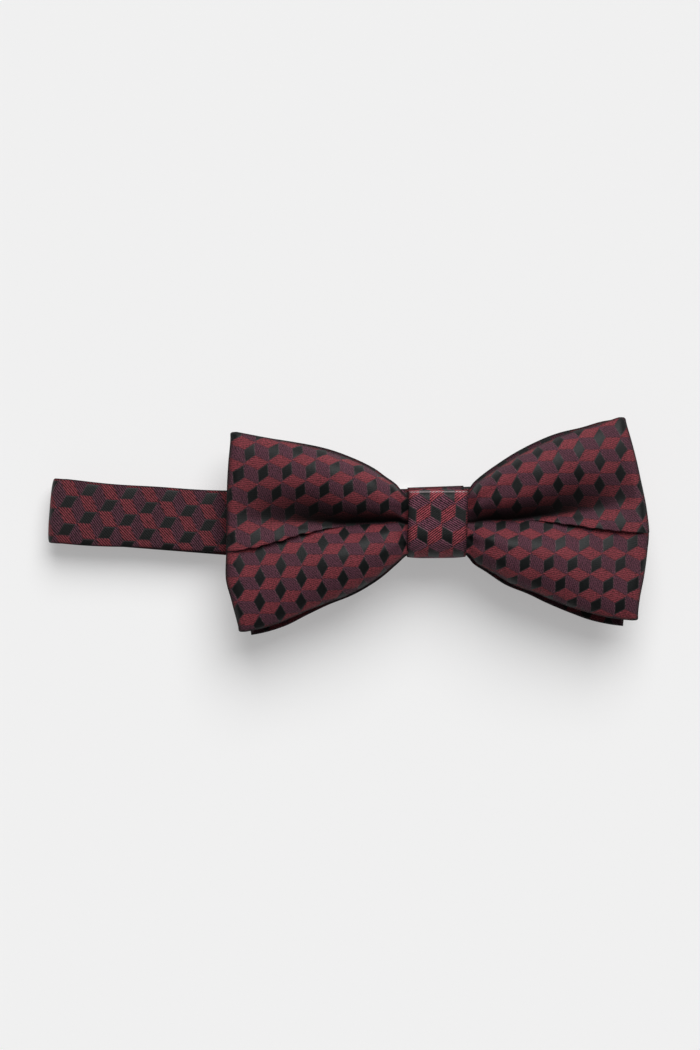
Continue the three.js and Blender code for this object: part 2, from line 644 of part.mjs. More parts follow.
function rightTail() {
  const group = new THREE.Group();
  group.position.y = BAND_MID_Y;
  const end = BAND_RIGHT - RIGHT_TAIL;
  const bar = end - END_FOOT;
  const fold = cover('right_fold_cover', halfTurn(0, UPPER_BAND_Z, RIGHT_TAIL_Z));
  fold.rotation.z = Math.PI;
  fold.position.x = BAND_RIGHT;
  group.add(fold);
  group.add(cover('right_tail_cover', straight(end, BAND_RIGHT - FOLD_GAP, RIGHT_TAIL_Z)));
  group.add(
    lining('right_tail_interlining', straight(end + CLEAR, BAND_RIGHT - FOLD_GAP - CLEAR, RIGHT_TAIL_Z)),
  );
  const turned = turnedEnd('eye_turn', EYE_Z);
  turned.position.x = bar;
  const tack = bartack('eye_bartack', 2 * RIGHT_TAIL_Z + CLEAR);
  tack.position.x = bar + TACK_FROM_BAR;
  const eye = claspEye();
  eye.position.set(bar, 0, EYE_Z);
  group.add(turned, tack, eye);
  return group;
}

const bowTie = new THREE.Group();
bowTie.add(...frontBow(), ...rearBow(), binding(), knot(), keeper(), ...upperBand(), leftTail(), rightTail());

export default bowTie;
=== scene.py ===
import math

import bmesh
import bpy
import numpy as np
from bpy.props import FloatProperty, FloatVectorProperty, PointerProperty
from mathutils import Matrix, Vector


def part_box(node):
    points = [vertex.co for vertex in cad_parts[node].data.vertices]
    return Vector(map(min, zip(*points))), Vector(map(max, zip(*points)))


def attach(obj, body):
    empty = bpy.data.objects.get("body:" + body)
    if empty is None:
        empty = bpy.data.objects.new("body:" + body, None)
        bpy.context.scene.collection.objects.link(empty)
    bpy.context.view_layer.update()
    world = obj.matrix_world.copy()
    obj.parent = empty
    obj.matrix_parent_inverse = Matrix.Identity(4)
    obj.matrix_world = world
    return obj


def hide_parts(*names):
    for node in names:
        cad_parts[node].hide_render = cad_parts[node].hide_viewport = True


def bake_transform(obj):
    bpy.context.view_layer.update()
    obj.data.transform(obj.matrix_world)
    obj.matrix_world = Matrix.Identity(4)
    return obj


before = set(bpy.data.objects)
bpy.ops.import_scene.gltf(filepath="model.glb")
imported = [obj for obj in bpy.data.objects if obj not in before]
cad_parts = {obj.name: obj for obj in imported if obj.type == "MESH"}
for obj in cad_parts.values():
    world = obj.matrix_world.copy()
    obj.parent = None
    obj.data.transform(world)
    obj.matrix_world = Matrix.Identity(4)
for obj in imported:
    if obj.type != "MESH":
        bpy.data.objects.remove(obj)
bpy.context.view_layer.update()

bl_info = {
    "name": "Ready-tied bow tie",
    "version": (1, 0, 0),
    "blender": (4, 5, 0),
    "location": "3D View > Sidebar > Bow tie",
    "description": "Cloth, stitching and metal of a ready-tied bow tie, built round its packed frame",
    "category": "Object",
}

MM = 0.001
WELD = 2e-6
EDGE_ROLL = 0.45  # share of a cloth's thickness over which its cut edge rounds off


def box_mm(node):
    """Lowest and highest corner of a frame node, in millimetres."""
    low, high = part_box(node)
    return np.array(low) / MM, np.array(high) / MM


def level(node):
    """Height of the middle of a flat frame node, in millimetres."""
    low, high = box_mm(node)
    return float((low[2] + high[2]) / 2)


# ---- Levels and places in millimetres, where the frame's pieces lie
BAND_Z = level("upper_band_cover")
LEFT_TAIL_Z = level("left_tail_cover")
RETURN_Z = level("return_band_cover")
RIGHT_TAIL_Z = level("right_tail_cover")
REAR_Z = 14.65  # middle of the rear bow
BACK_Z = 16.55  # middle of the front bow's back
KNOT_LOW, KNOT_HIGH = box_mm("knot_wrap")[0][2], box_mm("knot_wrap")[1][2]
KNOT_LEAN = (0.062, -0.028)  # the wrap's skew: along per height, and height per along
BAND_MID_Y = 1.2
BAND_LEFT, BAND_RIGHT = 107.0, 52.8  # distances of the two folds from the knot
BAND_SWEEP = 6.2  # rise of the band at its left fold
BAND_LIFT = 0.35  # rise of the band by the knot
LEVEL_REACH = 22.0  # distance from the knot at which the band starts to swing up
TAIL_TILT = math.radians(-6.5)
TAIL_START = np.array([-BAND_LEFT, BAND_MID_Y + BAND_SWEEP])
TAIL_SPLIT = 26.0  # along the left tail, where its sliding length starts
TAIL_ALONG = np.array([math.cos(TAIL_TILT), math.sin(TAIL_TILT), 0.0])
TAIL_ACROSS = np.array([-math.sin(TAIL_TILT), math.cos(TAIL_TILT), 0.0])
X_AXIS, Y_AXIS, UP = np.eye(3)
HOOK_AT, SLIDER_AT = 79.5, 59.5  # bars of the hook and the slider along the left tail
SLIDER_REACH = 1.775  # from the slider's bar to the end of the length that leads to it
EYE_X = -5.975  # the eye's bar


# ---- Sizes and colours that a user would change
def length(name, description, default):
    """A length that a user sets, in metres."""
    return FloatProperty(name=name, description=description, default=default, min=0.0,
                         subtype="DISTANCE", unit="LENGTH")


def colour(name, description, default):
    """A colour that a user picks."""
    return FloatVectorProperty(name=name, description=description, default=default, min=0.0, max=1.0,
                               size=3, subtype="COLOR")


class BowSizes(bpy.types.PropertyGroup):
    """Sizes of the bow and its knot."""
    ply: length("Ply", "Thickness of one sewn layer of the bow", 0.0016)
    wing_puff: length("Wing puff", "How far a wing's front bulges from its back", 0.0066)
    pleat: length("Pleat", "Drop at the pleat across a wing", 0.0017)
    rear_drop: length("Rear drop", "How far the rear bow shows under the front one", 0.0015)
    knot_width: length("Knot width", "Width of the wrap along the bow", 0.0168)
    knot_height: length("Knot height", "Height of the wrap across the bow", 0.0186)


class BandSizes(bpy.types.PropertyGroup):
    """Sizes of the neck band."""
    width: length("Width", "Width of the band", 0.0176)
    thickness: length("Thickness", "Thickness of the band", 0.0016)


class ClothColours(bpy.types.PropertyGroup):
    """Colours and scale of the woven silk, and of the trimmings."""
    diamond: length("Diamond", "Long way across one woven diamond", 0.0070)
    rib: length("Rib", "Pitch of the weave's ribs", 0.00055)
    red: colour("Red", "Warm red diamonds", (0.170, 0.028, 0.037))
    plum: colour("Plum", "Plum diamonds", (0.076, 0.023, 0.037))
    black: colour("Black", "Black satin diamonds", (0.0032, 0.0042, 0.0041))
    thread: colour("Thread", "Sewing thread", (0.030, 0.012, 0.016))
    nickel: colour("Nickel", "Slider and clasp", (0.62, 0.60, 0.57))
    floor: colour("Floor", "Table top", (0.665, 0.665, 0.665))


# ---- Numpy helpers
def eased(t):
    """Smooth step: 3 t squared less 2 t cubed, with t held between 0 and 1."""
    t = np.clip(t, 0.0, 1.0)
    return t * t * (3.0 - 2.0 * t)


def through(x, stations):
    """Monotone cubic through (place, value) pairs: Hermite pieces whose slopes are the harmonic mean of the
    neighbouring chords, or nought at a turn."""
    px, py = np.array(stations, float).T
    chord = np.diff(py) / np.diff(px)
    both = chord[:-1] * chord[1:]
    inner = np.where(both > 0, 2 * both / np.where(both > 0, chord[:-1] + chord[1:], 1.0), 0.0)
    slope = np.concatenate([chord[:1], inner, chord[-1:]])
    x = np.clip(x, px[0], px[-1])
    i = np.clip(np.searchsorted(px, x, side="right") - 1, 0, len(px) - 2)
    span = px[i + 1] - px[i]
    t = (x - px[i]) / span
    return (py[i] * (1 + 2 * t) * (1 - t) ** 2 + slope[i] * span * t * (1 - t) ** 2
            + py[i + 1] * t * t * (3 - 2 * t) + slope[i + 1] * span * t * t * (t - 1))


def rounding(distance, reach):
    """Share of a cloth's thickness at a distance from its cut edge: a quarter circle that ends at reach."""
    return np.sqrt(1 - (1 - np.clip(distance / reach, 0, 1)) ** 2)


def to_long_edges(middle):
    """Distance of each point of a strip from the nearer one of its long edges."""
    return np.minimum(np.abs(middle[:, :, 1] - middle[:, :1, 1]), np.abs(middle[:, :, 1] - middle[:, -1:, 1]))


def both_faces(shade):
    """Shade of a strip's outer face carried over to its inner one, which runs the other way."""
    return np.concatenate([shade, shade[:, ::-1]], axis=1)


def run_length(points, axis):
    """Distance travelled along one axis of a grid of points, nought at its start."""
    step = np.linalg.norm(np.diff(points, axis=axis), axis=-1)
    start = np.zeros_like(np.take(step, [0], axis=axis))
    return np.concatenate([start, np.cumsum(step, axis=axis)], axis=axis)


def ripple(a, b, pitch, seed):
    """Gentle unevenness between -1 and 1: three crossed sine waves of a given pitch with fixed phases."""
    phase = np.random.default_rng(seed).uniform(0, 2 * math.pi, 3)
    k = 2 * math.pi / pitch
    return (np.sin(k * (a + 0.35 * b) + phase[0]) + np.sin(k * (0.62 * a - 0.78 * b) + phase[1])
            + np.sin(k * (0.31 * a + 1.13 * b) + phase[2])) / 3


def turned(cloth, angle, anchor):
    """Cloth coordinates in the weave's own frame: the anchor moved to nought and the red diamonds' long way
    turned onto the first axis."""
    c, s = math.cos(math.radians(angle)), math.sin(math.radians(angle))
    at = cloth - np.asarray(anchor, float)
    return np.stack([at[..., 0] * c + at[..., 1] * s, at[..., 1] * c - at[..., 0] * s], axis=-1)


def sew(name, points, cloth, look, shade, corner_cloth=None):
    """Mesh of a grid of points (rows, columns, 3) in millimetres. The last column is joined to the first, so cloth
    has one column more than points. shade is a grid of painted shade from 0 to 1."""
    rows, columns = points.shape[:2]
    i, j = np.meshgrid(np.arange(rows - 1), np.arange(columns), indexing="ij")
    k = (j + 1) % columns
    corners = np.stack([i * columns + j, (i + 1) * columns + j, (i + 1) * columns + k, i * columns + k], -1)
    if corner_cloth is None:
        corner_cloth = np.stack([cloth[i, j], cloth[i + 1, j], cloth[i + 1, j + 1], cloth[i, j + 1]], axis=2)
    mesh = bpy.data.meshes.new(name)
    mesh.from_pydata((points.reshape(-1, 3) * MM).tolist(), [], corners.reshape(-1, 4).tolist())
    layer = mesh.uv_layers.new(name="cloth")
    layer.data.foreach_set("uv", (corner_cloth.reshape(-1, 2) * MM).astype(np.float32).ravel())
    # The painted shade is kept on the mesh as a point attribute, for the cloth to darken its colour by.
    painted_shade = mesh.attributes.new("painted_shade", "FLOAT", "POINT")
    painted_shade.data.foreach_set("value", np.broadcast_to(shade, (rows, columns)).astype(np.float32).ravel())
    return finish_mesh(name, mesh, look)


def finish_mesh(name, mesh, look):
    """Welds coinciding points, points the faces outwards and shades them smooth."""
    work = bmesh.new()
    work.from_mesh(mesh)
    bmesh.ops.remove_doubles(work, verts=work.verts, dist=WELD)
    bmesh.ops.recalc_face_normals(work, faces=work.faces)
    work.to_mesh(mesh)
    work.free()
    mesh.polygons.foreach_set("use_smooth", np.ones(len(mesh.polygons), bool))
    mesh.materials.append(look)
    made = bpy.data.objects.new(name, mesh)
    bpy.context.scene.collection.objects.link(made)
    return made


# ---- Shader expressions
def joined(operation, reflected=False):
    """A method that joins two values by one Math operation, the other one first where it is reflected."""
    def method(self, other):
        return self.maths(operation, other, self) if reflected else self.maths(operation, self, other)
    return method


class Wire:
    """One value in a material's node tree, used in ordinary arithmetic."""

    def __init__(self, tree, socket):
        self.tree, self.socket = tree, socket

    def maths(self, operation, *others):
        made = self.tree.nodes.new("ShaderNodeMath")
        made.operation = operation
        for slot, value in zip(made.inputs, others):
            plug(self.tree, slot, value)
        return Wire(self.tree, made.outputs[0])

    __add__, __radd__ = joined("ADD"), joined("ADD", True)
    __sub__, __rsub__ = joined("SUBTRACT"), joined("SUBTRACT", True)
    __mul__, __rmul__ = joined("MULTIPLY"), joined("MULTIPLY", True)
    __truediv__, __rtruediv__ = joined("DIVIDE"), joined("DIVIDE", True)
    __lt__, __gt__ = joined("LESS_THAN"), joined("GREATER_THAN")
    least, most = joined("MINIMUM"), joined("MAXIMUM")

    def fract(self):
        return self.maths("FRACT", self)

    def sine(self):
        return self.maths("SINE", self)

    def ramp(self, low, high):
        """0 below low, 1 above high, smooth between."""
        return add_node(self.tree, "ShaderNodeMapRange", {"interpolation_type": "SMOOTHSTEP"},
                        Value=self, From_Min=low, From_Max=high)


def plug(tree, slot, value):
    """Puts a number, a colour or a wire into one input."""
    if isinstance(value, Wire):
        tree.links.new(value.socket, slot)
    elif value is not None:
        slot.default_value = value


def add_node(tree, kind, settings=None, output=0, **inputs):
    """Adds one node: its settings first, then its inputs by name, a number standing for a place in the list."""
    made = tree.nodes.new(kind)
    for key, value in (settings or {}).items():
        setattr(made, key, value)
    for key, value in inputs.items():
        key = key.replace("_", " ")
        plug(tree, made.inputs[int(key[3:]) if key.startswith("at ") else key], value)
    return Wire(tree, made.outputs[output])


def noise(tree, place, scale, detail, flat=True, **inputs):
    """Smooth noise around a half, in the plane of the cloth or in space."""
    return add_node(tree, "ShaderNodeTexNoise", {"noise_dimensions": "2D" if flat else "3D"}, Vector=place,
                    Scale=scale, Detail=detail, **inputs)


def object_place(tree):
    """The place on the piece itself."""
    return add_node(tree, "ShaderNodeTexCoord", output=3)


def parts_of(tree, vector):
    """The first two parts of a vector."""
    first = add_node(tree, "ShaderNodeSeparateXYZ", Vector=vector)
    return first, Wire(tree, first.socket.node.outputs[1])


def mixed(tree, share, a, b):
    """Colour a where share is 0 and b where it is 1."""
    return add_node(tree, "ShaderNodeMix", {"data_type": "RGBA", "blend_type": "MIX"}, output=2,
                    at_0=share, at_6=a, at_7=b)


def shaded(tree, a, amount):
    """A colour times a value."""
    return add_node(tree, "ShaderNodeVectorMath", {"operation": "SCALE"}, at_0=a, Scale=amount)


def new_look(name, **constants):
    """A material with one Principled shader and its constant settings."""
    look = bpy.data.materials.new(name)
    look.use_nodes = True
    shader = look.node_tree.nodes["Principled BSDF"]
    for key, value in constants.items():
        shader.inputs[key.replace("_", " ")].default_value = value
    return look, look.node_tree, shader


def feed(tree, shader, **wires):
    """Links what varies over a surface to the shader's inputs."""
    for key, wire in wires.items():
        plug(tree, shader.inputs[key.replace("_", " ")], wire)


def rgba(value, share=1.0):
    """A colour times a number, opaque."""
    return (*(part * share for part in value), 1.0)


DARK_LINE = (0.02, 0.008, 0.011)  # where a red diamond meets its neighbours
PALE_LINE = (0.12, 0.075, 0.085)  # where a plum diamond meets a black one
PAINTED_HIGHLIGHT = (0.30, 0.25, 0.26)  # pale line painted on the knot's top bend as a highlight


def jacquard(name, colours, rib_show, grain_show, red_way=-10.0, plum_way=110.0, highlight_height=None, painted_brightness=1.0):
    """Tumbling-block jacquard. Three families of parallel lines a diamond's height apart make triangles, and each
    point takes the colour of the family whose line is nearest, which gives diamonds of three directions. rib_show
    and grain_show say how strong the ribs and flecks are, red_way and plum_way which way the ribs run in degrees,
    the next argument the height of a pale line painted on as a highlight if there is one, and the last a factor by
    which this piece's copy of the cloth is painted lighter or darker."""
    look, tree, shader = new_look(name, Specular_IOR_Level=0.27)
    uv = add_node(tree, "ShaderNodeUVMap", {"uv_map": "cloth"})
    side = colours.diamond
    x, y = (part / side for part in parts_of(tree, uv))
    grid = add_node(tree, "ShaderNodeCombineXYZ", X=x, Y=y)
    frayed = noise(tree, grid, 17.0, 1.0)
    x = x + (frayed - 0.5) * 0.055 - 0.25
    y = y + (frayed - 0.5) * 0.03 - math.sqrt(3) / 4
    tall = math.sqrt(3) / 2
    lines = [y / tall, (x * -tall - y * 0.5) / tall, (x * tall - y * 0.5) / tall]
    parts = [line.fract() for line in lines]
    other = (parts[0] + parts[1] + parts[2]) > 1.5
    red, plum, black = [part + other * (1.0 - part * 2.0) for part in parts]
    black = black + 0.07
    near = red.least(plum).least(black)
    is_black = (black - near) < 1e-5
    is_red = ((red - near) < 1e-5) * (1.0 - is_black)
    middle = red.least(plum).most(black.least(red.most(plum)))
    edge = 1.0 - ((middle - near) * tall / math.sqrt(3) * side / MM).ramp(0.03, 0.26)

    # Ribs of the weave, one way on plum and another on the rest, made uneven, and the flecks of the mixed yarn.
    unevenness = noise(tree, add_node(tree, "ShaderNodeCombineXYZ", X=x * 2.4, Y=y * 9.0), 1.0, 2.0)
    turns = 2 * math.pi * side / colours.rib
    coloured = 1.0 - is_black
    is_plum = coloured - is_red
    red_way, plum_way = math.radians(red_way), math.radians(plum_way)
    across_ribs = (y * math.cos(red_way) - x * math.sin(red_way)) * (1.0 - is_plum) + (
        y * math.cos(plum_way) - x * math.sin(plum_way)) * is_plum
    rib = (across_ribs * turns + (unevenness - 0.5) * 2.0).sine() * 0.5 + 0.5
    fleck_place = add_node(tree, "ShaderNodeCombineXYZ", X=x * 15.0, Y=y * 22.0)
    fleck = noise(tree, fleck_place, 1.0, 2.0, Roughness=0.7)
    blotch = noise(tree, grid, 0.6, 2.0)
    tint = 1.0 + (rib - 0.5) * rib_show * (coloured * 0.85 + 0.15 - is_red * 0.15) + (
        fleck - 0.5) * grain_show * (coloured * 0.8 + 0.2) + (blotch - 0.5) * 0.2
    base = mixed(tree, is_red, rgba(colours.plum), rgba(colours.red))
    base = mixed(tree, is_black, base, rgba(colours.black))
    base = mixed(tree, edge * 0.6 * is_red, base, rgba(DARK_LINE))
    beside_black = edge * ((black - middle) < 1e-5) * (1.0 - is_red)
    base = mixed(tree, beside_black * 0.3, base, rgba(PALE_LINE))
    # Painted shade kept on the mesh: it darkens the colour below and roughens the cloth.
    painted_shade = add_node(tree, "ShaderNodeAttribute", {"attribute_name": "painted_shade"}, output=2)
    # A pale line painted along the knot's top bend as a highlight, broken up by the flecks.
    if highlight_height:
        spot_x, spot_y = parts_of(tree, object_place(tree))
        up_it = spot_y / MM + spot_x / MM * -KNOT_LEAN[1]
        line = up_it.ramp(highlight_height - 0.2, highlight_height - 0.05) * (1.0 - up_it.ramp(highlight_height + 0.05, highlight_height + 0.2))
        base = mixed(tree, line * 0.8 * (fleck * 0.8 + 0.4), base, rgba(PAINTED_HIGHLIGHT))
    # The painted shade from the mesh darkens the colour, and the piece's last factor paints it lighter or darker.
    base = shaded(tree, base, tint.most(0.08) * (1.0 - painted_shade * 0.97) * painted_brightness)
    rough = 0.70 - is_black * 0.19 + (fleck - 0.5) * 0.16 + painted_shade * 0.3
    relief = rib * (0.15 + coloured * 0.85) * rib_show + fleck * grain_show * (0.2 + coloured * 0.8) - edge * 0.4 - (
        is_black * 0.4)
    bump = add_node(tree, "ShaderNodeBump", Height=relief, Strength=0.55, Distance=0.00012)
    feed(tree, shader, Base_Color=base, Roughness=rough, Normal=bump)
    return look


def plain_thread(name, colours):
    """Twisted sewing thread: a fine slanted wave in colour and bump."""
    look, tree, shader = new_look(name, Roughness=0.7, Sheen_Weight=0.3)
    wave = add_node(tree, "ShaderNodeTexWave", {"bands_direction": "DIAGONAL"}, Vector=object_place(tree),
                    Scale=900.0, Distortion=1.5, Detail=1.0, output=1)
    base = mixed(tree, wave, rgba(colours.thread), rgba(colours.thread, 2.4))
    bump = add_node(tree, "ShaderNodeBump", Height=wave, Strength=0.6, Distance=0.0001)
    feed(tree, shader, Base_Color=base, Normal=bump)
    return look


def brushed_nickel(name, colours):
    """Plated wire and sheet: faint rubbing marks and cloudy wear in roughness and bump."""
    look, tree, shader = new_look(name, Metallic=1.0)
    place = object_place(tree)
    marks_place = add_node(tree, "ShaderNodeMapping", Vector=place, Scale=(900.0, 2600.0, 900.0))
    marks = noise(tree, marks_place, 1.0, 3.0, flat=False)
    clouds = noise(tree, place, 240.0, 3.0, flat=False)
    base = mixed(tree, clouds, rgba(colours.nickel), rgba(colours.nickel, 0.72))
    rough = 0.2 + marks * 0.14 + clouds * 0.12
    bump = add_node(tree, "ShaderNodeBump", Height=marks, Strength=0.2, Distance=0.00004)
    feed(tree, shader, Base_Color=base, Roughness=rough, Normal=bump)
    return look


def table_top(name, colours):
    """Smooth matt table top with a barely visible cloudiness."""
    look, tree, shader = new_look(name, Roughness=0.9, Specular_IOR_Level=0.0, Emission_Strength=0.34,
                                  Emission_Color=(1.0, 1.0, 1.0, 1.0))
    clouds = noise(tree, object_place(tree), 6.0, 2.0, flat=False)
    feed(tree, shader, Base_Color=mixed(tree, clouds, rgba(colours.floor), rgba(colours.floor, 0.992)))
    return look


LOOKS = {}


def look_of(key):
    """The named finish, made the first time it is asked for."""
    if key not in LOOKS:
        colours = bpy.context.scene.bow_tie_colours
        LOOKS[key] = {
            # The knot's copy of the silk gets a painted highlight line along its top bend, and each copy is painted
            # lighter or darker by its last factor: lightest on the knot, darkest on the band.
            "silk": lambda: jacquard("bow_silk", colours, rib_show=0.7, grain_show=2.8, painted_brightness=1.04),
            "knot_silk": lambda: jacquard("knot_silk", colours, rib_show=3.2, grain_show=0.9, red_way=-22.0,
                                          plum_way=92.0, highlight_height=9.1, painted_brightness=1.24),
            "band_silk": lambda: jacquard("band_silk", colours, rib_show=2.5, grain_show=1.4, plum_way=-15.0,
                                          painted_brightness=0.8),
            "thread": lambda: plain_thread("sewing_thread", colours),
            "nickel": lambda: brushed_nickel("plated_nickel", colours),
            "floor": lambda: table_top("table_top", colours),
        }[key]()
    return LOOKS[key]


# ---- Front bow
# Outline of each wing in millimetres: distance from the knot, then height of the top and bottom edges.
TOP_EDGE = {
    -1: [(0, 6.6), (8.6, 8.0), (11.9, 11.7), (15.2, 14.1), (18.5, 16.5), (25.2, 19.8), (31.9, 22.3), (41.9, 24.9),
         (52, 27.2), (58, 28.6)],
    1: [(0, 6.6), (8.6, 8.0), (11.8, 11.4), (15.3, 13.9), (18.8, 16.0), (25.7, 19.7), (32.6, 22.6), (39.4, 24.9),
        (46.3, 26.6), (53.1, 28.6), (58, 29.4)],
}
BOTTOM_EDGE = {
    -1: [(0, -6.6), (8.8, -8.3), (12.7, -11.1), (16.2, -13.8), (19.6, -16.0), (26.5, -19.4), (33.4, -21.7),
         (40.3, -24.3), (47.1, -26.9), (54, -28.4), (58, -28.9)],
    1: [(0, -6.6), (8.6, -9.0), (11, -11.7), (14.4, -13.8), (21, -18.0), (27.7, -20.7), (34.3, -23.8), (41, -26.3),
        (47.7, -28.2), (54, -29.2), (58, -29.6)],
}
OUTER_EDGE = {  # place across a wing from its bottom edge at -1 to its top at 1, then distance from the knot
    -1: [(-1, 56.9), (-0.62, 58.9), (-0.3, 60.4), (0, 60.0), (0.4, 59.4), (0.7, 58.6), (1, 57.3)],
    1: [(-1, 55.6), (-0.75, 56.5), (-0.5, 57.9), (-0.2, 59.2), (0, 59.8), (0.2, 59.4), (0.5, 57.6), (0.8, 55.4),
        (1, 53.9)],
}
# How far the pleat lies from the straight line through a wing, as a share of the half height, at the tip.
PLEAT_FALL = {-1: 0.21, 1: 0.17}
PLEAT_START = {-1: 0.05, 1: 0.07}
# Heights of the front of a wing over its back along the wing: distance from the knot in millimetres first.
FLAT = 1.9  # gap where the strip lies flat on itself
EDGE_GAP = [(0, FLAT), (9, FLAT), (40, 2.1), (60, 2.5)]
UPPER_CREST = [(0, FLAT), (8, 2.6), (12, 6.0), (18, 8.0), (27, 8.8), (36, 8.0), (46, 6.5), (55, 5.1), (60, 4.6)]
LOWER_CREST = [(0, FLAT), (8, 2.6), (12, 5.4), (18, 7.2), (27, 7.8), (36, 7.2), (46, 6.1), (55, 5.0), (60, 4.6)]
VALLEY = [(0, FLAT), (26, FLAT), (34, 2.4), (40, 3.0), (50, 4.0), (60, 4.4)]
PLEAT_TOP = [(0, FLAT), (22, FLAT), (28, 2.4), (34, 4.2), (42, 5.6), (52, 5.6), (58, 5.1), (60, 4.8)]
PLEAT_DROP = [(0, 0.0), (24, 0.0), (32, 0.6), (38, 1.0), (52, 1.0), (57.5, 0.5), (60, 0.3)]
VALLEY_PLACE = [(0, 0.02), (14, 0.02), (26, 0.05), (36, 0.14), (48, 0.25), (60, 0.34)]
# Strength of the shade painted deep in the valley, by distance from the knot.
VALLEY_SHADE = [(0, 1.0), (34, 1.0), (44, 0.75), (54, 0.3), (60, 0.05)]
UPPER_CREST_AT, LOWER_CREST_AT = 0.62, -0.44
FULL_PUFF = 6.6  # wing puff at which the crests have the heights above
TIP_AT = 57.4  # distance from the knot at which the tip's turn is measured
BACK_FALL = 1.6  # fall of the strip's back from the knot to the tip
FRONT_ROWS, TURN_ROWS, BACK_ROWS = 96, 9, 26


def wing_height(x, v, side):
    """Gap between a wing's back and front at distance x from the knot and place v across it, 1 at the top edge, 0
    at the pleat and -1 at the bottom edge. The top part falls from its crest to the edge as a flat dome and to the
    valley as a cubic that eases out further from the knot. It rises from the valley to the pleat and drops there.
    The bottom part rises as a quarter sine to its own crest and falls as a second dome. Gathers by the knot are a
    sine across the wing that dies out with distance."""
    sizes = bpy.context.scene.bow_tie_bow
    puff = sizes.wing_puff / MM / FULL_PUFF
    edge = through(x, EDGE_GAP)
    upper = edge + (through(x, UPPER_CREST) - edge) * puff
    lower = edge + (through(x, LOWER_CREST) - edge) * puff
    valley = through(x, VALLEY)
    top = through(x, PLEAT_TOP)
    under = top - through(x, PLEAT_DROP) * sizes.pleat / MM
    dip = through(x, VALLEY_PLACE)
    soft = eased((x - 20) / 22)

    def dome(share):
        return (1 - np.clip(share, 0, 1) ** 2.3) ** 0.62

    rise = np.clip((v - dip) / (UPPER_CREST_AT - dip), 0, 1)
    rise = (1 - soft) * (1 - (1 - rise) ** 3.0) + soft * eased(rise ** 0.8)
    to_pleat = 1 - np.clip(v / dip, 0, 1)
    roll = eased(to_pleat) * (0.3 * soft + 0.7) + to_pleat * 0.3 * (1 - soft)
    climb = np.sin(np.clip(v / LOWER_CREST_AT, 0, 1) * math.pi / 2)
    height = np.select(
        [v >= UPPER_CREST_AT, v >= dip, v > 0, v > LOWER_CREST_AT],
        [edge + (upper - edge) * dome((v - UPPER_CREST_AT) / (1 - UPPER_CREST_AT)),
         valley + (upper - valley) * rise,
         valley + (top - valley) * roll,
         under + (lower - under) * climb],
        edge + (lower - edge) * dome((v - LOWER_CREST_AT) / (-1 - LOWER_CREST_AT)))
    gathers = np.exp(-np.clip(x - 8.6, 0, None) / 7) * 0.3 * np.sin(v * 17 + side * 1.3) * (1 - v ** 6)
    uneven = 0.16 * ripple(side * x, v * 26, 21, 5) * eased((x - 9) / 12) * (1 - v ** 4)
    return np.maximum(height + (gathers * eased((x - 8) / 2) + uneven), FLAT)


def wing_columns():
    """Places across a wing from the top edge to the bottom one, closer at the edges, the valley and the pleat. The
    pleat has two, a hair apart."""
    top = np.concatenate([1 - 0.03 * np.linspace(0, 1, 6) ** 1.8, np.linspace(0.955, 0.36, 22),
                          np.linspace(0.34, 0.02, 26), [0.008, 0.0012]])
    bottom = -np.concatenate([[0.0012, 0.012, 0.03], np.linspace(0.055, 0.955, 38),
                              1 - 0.03 * np.linspace(1, 0, 6) ** 1.8])
    return np.concatenate([top, bottom])


def wing_place(x, v, side):
    """Height across the bow of place v at distance x: the pleat's line plus v times the way to the edge."""
    top, bottom = through(x, TOP_EDGE[side]), through(x, BOTTOM_EDGE[side])
    middle = (top + bottom) / 2
    half = (top - bottom) / 2
    share = np.clip((x - 9) / 51, 0, 1)
    pleat = PLEAT_START[side] * (1 - share) - PLEAT_FALL[side] * share ** 1.4
    wave = np.exp(-(v / 0.08) ** 2) * (0.14 * np.sin(x * 1.7 + side) + 0.12 * np.sin(x * 0.83))
    wave = wave * eased((x - 28) / 8) * eased((59 - x) / 5) * (0.75 - 0.25 * side)
    return middle + half * (v + pleat * (1 - np.abs(v))) + wave


